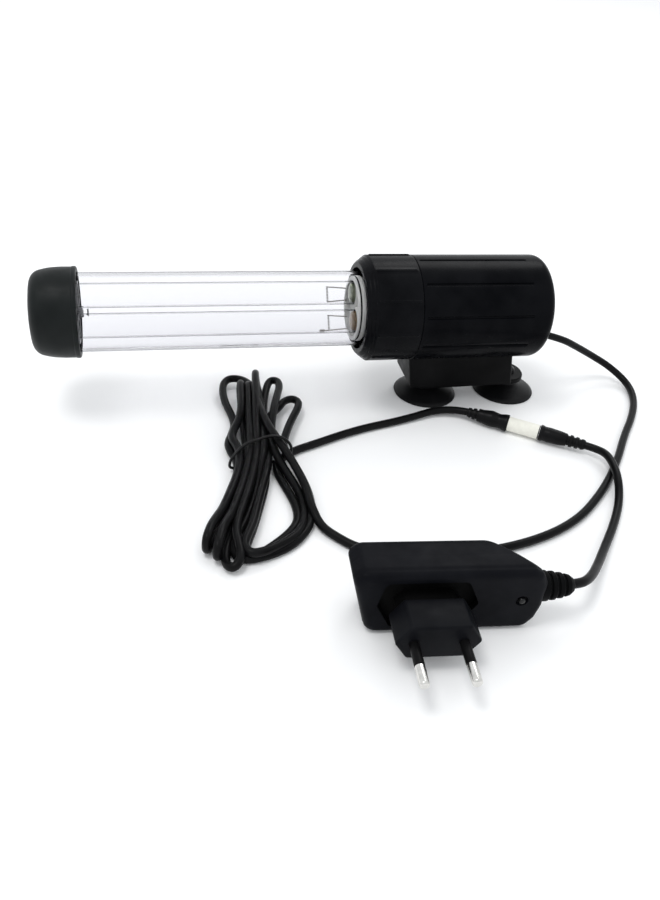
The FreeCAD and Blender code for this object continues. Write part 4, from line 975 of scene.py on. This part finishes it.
def make_pins():
    metal_parts, covers = [], []
    for side in (1, -1):
        pin = turned(rounded([
            (0, 0), (0, PIN_RADIUS, 1.5), (8.7, PIN_RADIUS, 0.2), (8.7, 1.5), (26, 1.5), (26, 0)],
            steps=7), 48)
        cover = turned(rounded([
            (8.8, 1.52), (8.8, PIN_RADIUS, 0.15), (PIN_LONG - 0.1, PIN_RADIUS), (PIN_LONG - 0.1, 1.52)]), 48)
        for bm, group in ((pin, metal_parts), (cover, covers)):
            tip = (PIN_SPREAD * side, -BLOCK_REACH - PIN_LONG, PIN_LEVEL)
            group.append(moved(quarter_turned(bm, "Z"), *tip))
    piece("mains_pins", joined(*metal_parts), BOX, "mains_pin", stands_for=["plug_pins"])
    piece("mains_pin_sleeves", joined(*covers), BOX, "pin_cover_plastic", stands_for=["pin_covers"])


def make_led():
    """A small dark lens in a shallow well."""
    dome = turned(rounded([(-0.9, 0), (-0.6, 1.2, 0.8), (0.4, 1.5, 0.3), (6, 1.5), (6, 0)], steps=6), 32)
    piece("led_dome", moved(quarter_turned(dome, "Z"), *LED_PLACE), BOX, "led_plastic",
          stands_for=["led_lens"])


def make_boot():
    x = BOX_RIGHT
    profile = [(x - 8.5, 6.0), (x - 2, 6.3, 2)]
    for start, collar, waist in ((0, 6.2, 4.8), (3.2, 5.8, 4.4), (6.4, 5.2, 3.8)):
        profile += [(x + start, collar, 0.4), (x + start + 2, collar, 0.5), (x + start + 2, waist, 0.2),
                    (x + start + 3.2, waist, 0.2)]
    profile += [(x + 9.6, 4.7, 0.4), (x + 11.4, 4.2, 0.8), (x + 13.4, 2.7, 0.8), (x + 13.4, 1.5)]
    where = BOX @ Matrix.Translation((0, BOOT_DEPTH, BOOT_LEVEL))
    piece("adapter_boot_ribs", turned(rounded(profile, steps=4), 64), where, "boot_rubber",
          stands_for=["adapter_boot"])


# ---------------------------------------------------------------- hank tie
TIE_WIDE = 1.4


def make_tie():
    """A twist tie: a thin coated wire round the bundle, standing off it at the left."""
    waist = [(-31, -54, 11.4), (-25.5, -55, 14.2), (-20.2, -57.5, 14.2), (-15.8, -58.2, 9.5), (-16.2, -58, 3),
             (-19.5, -58, 0.75), (-31, -59.5, 0.75), (-42, -62, 0.75), (-46.6, -64, 2.4), (-46.4, -64.5, 7.2),
             (-42.2, -61, 10.8), (-37, -56, 11.2), (-31, -54, 11.4)]
    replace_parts(cord_curve("tie_wire_loop", waist, TIE_WIDE, "tie_wire"), "hank_tie")


# ---------------------------------------------------------------- CAD nodes that keep their shape
def dress_nodes():
    slots = {s["node"]: s["material_slot"] for s in frame["record"]["subparts"]}
    for name, obj in frame["nodes"].items():
        look = LOOKS[slots[name]]
        if not obj.data.materials:
            obj.data.materials.append(look)
        for k in range(len(obj.material_slots)):
            obj.material_slots[k].link = "OBJECT"
            obj.material_slots[k].material = look


set_camera()
make_sleeve()
make_cap()
make_lamp()
make_ring()
make_shell()
make_gland()
make_bracket()
make_cups()
make_connector()
make_adapter()
make_pins()
make_led()
make_boot()
make_tie()
dress_nodes()
set_stage()

line_length(lamp_cord)
line_length(adapter_cord)
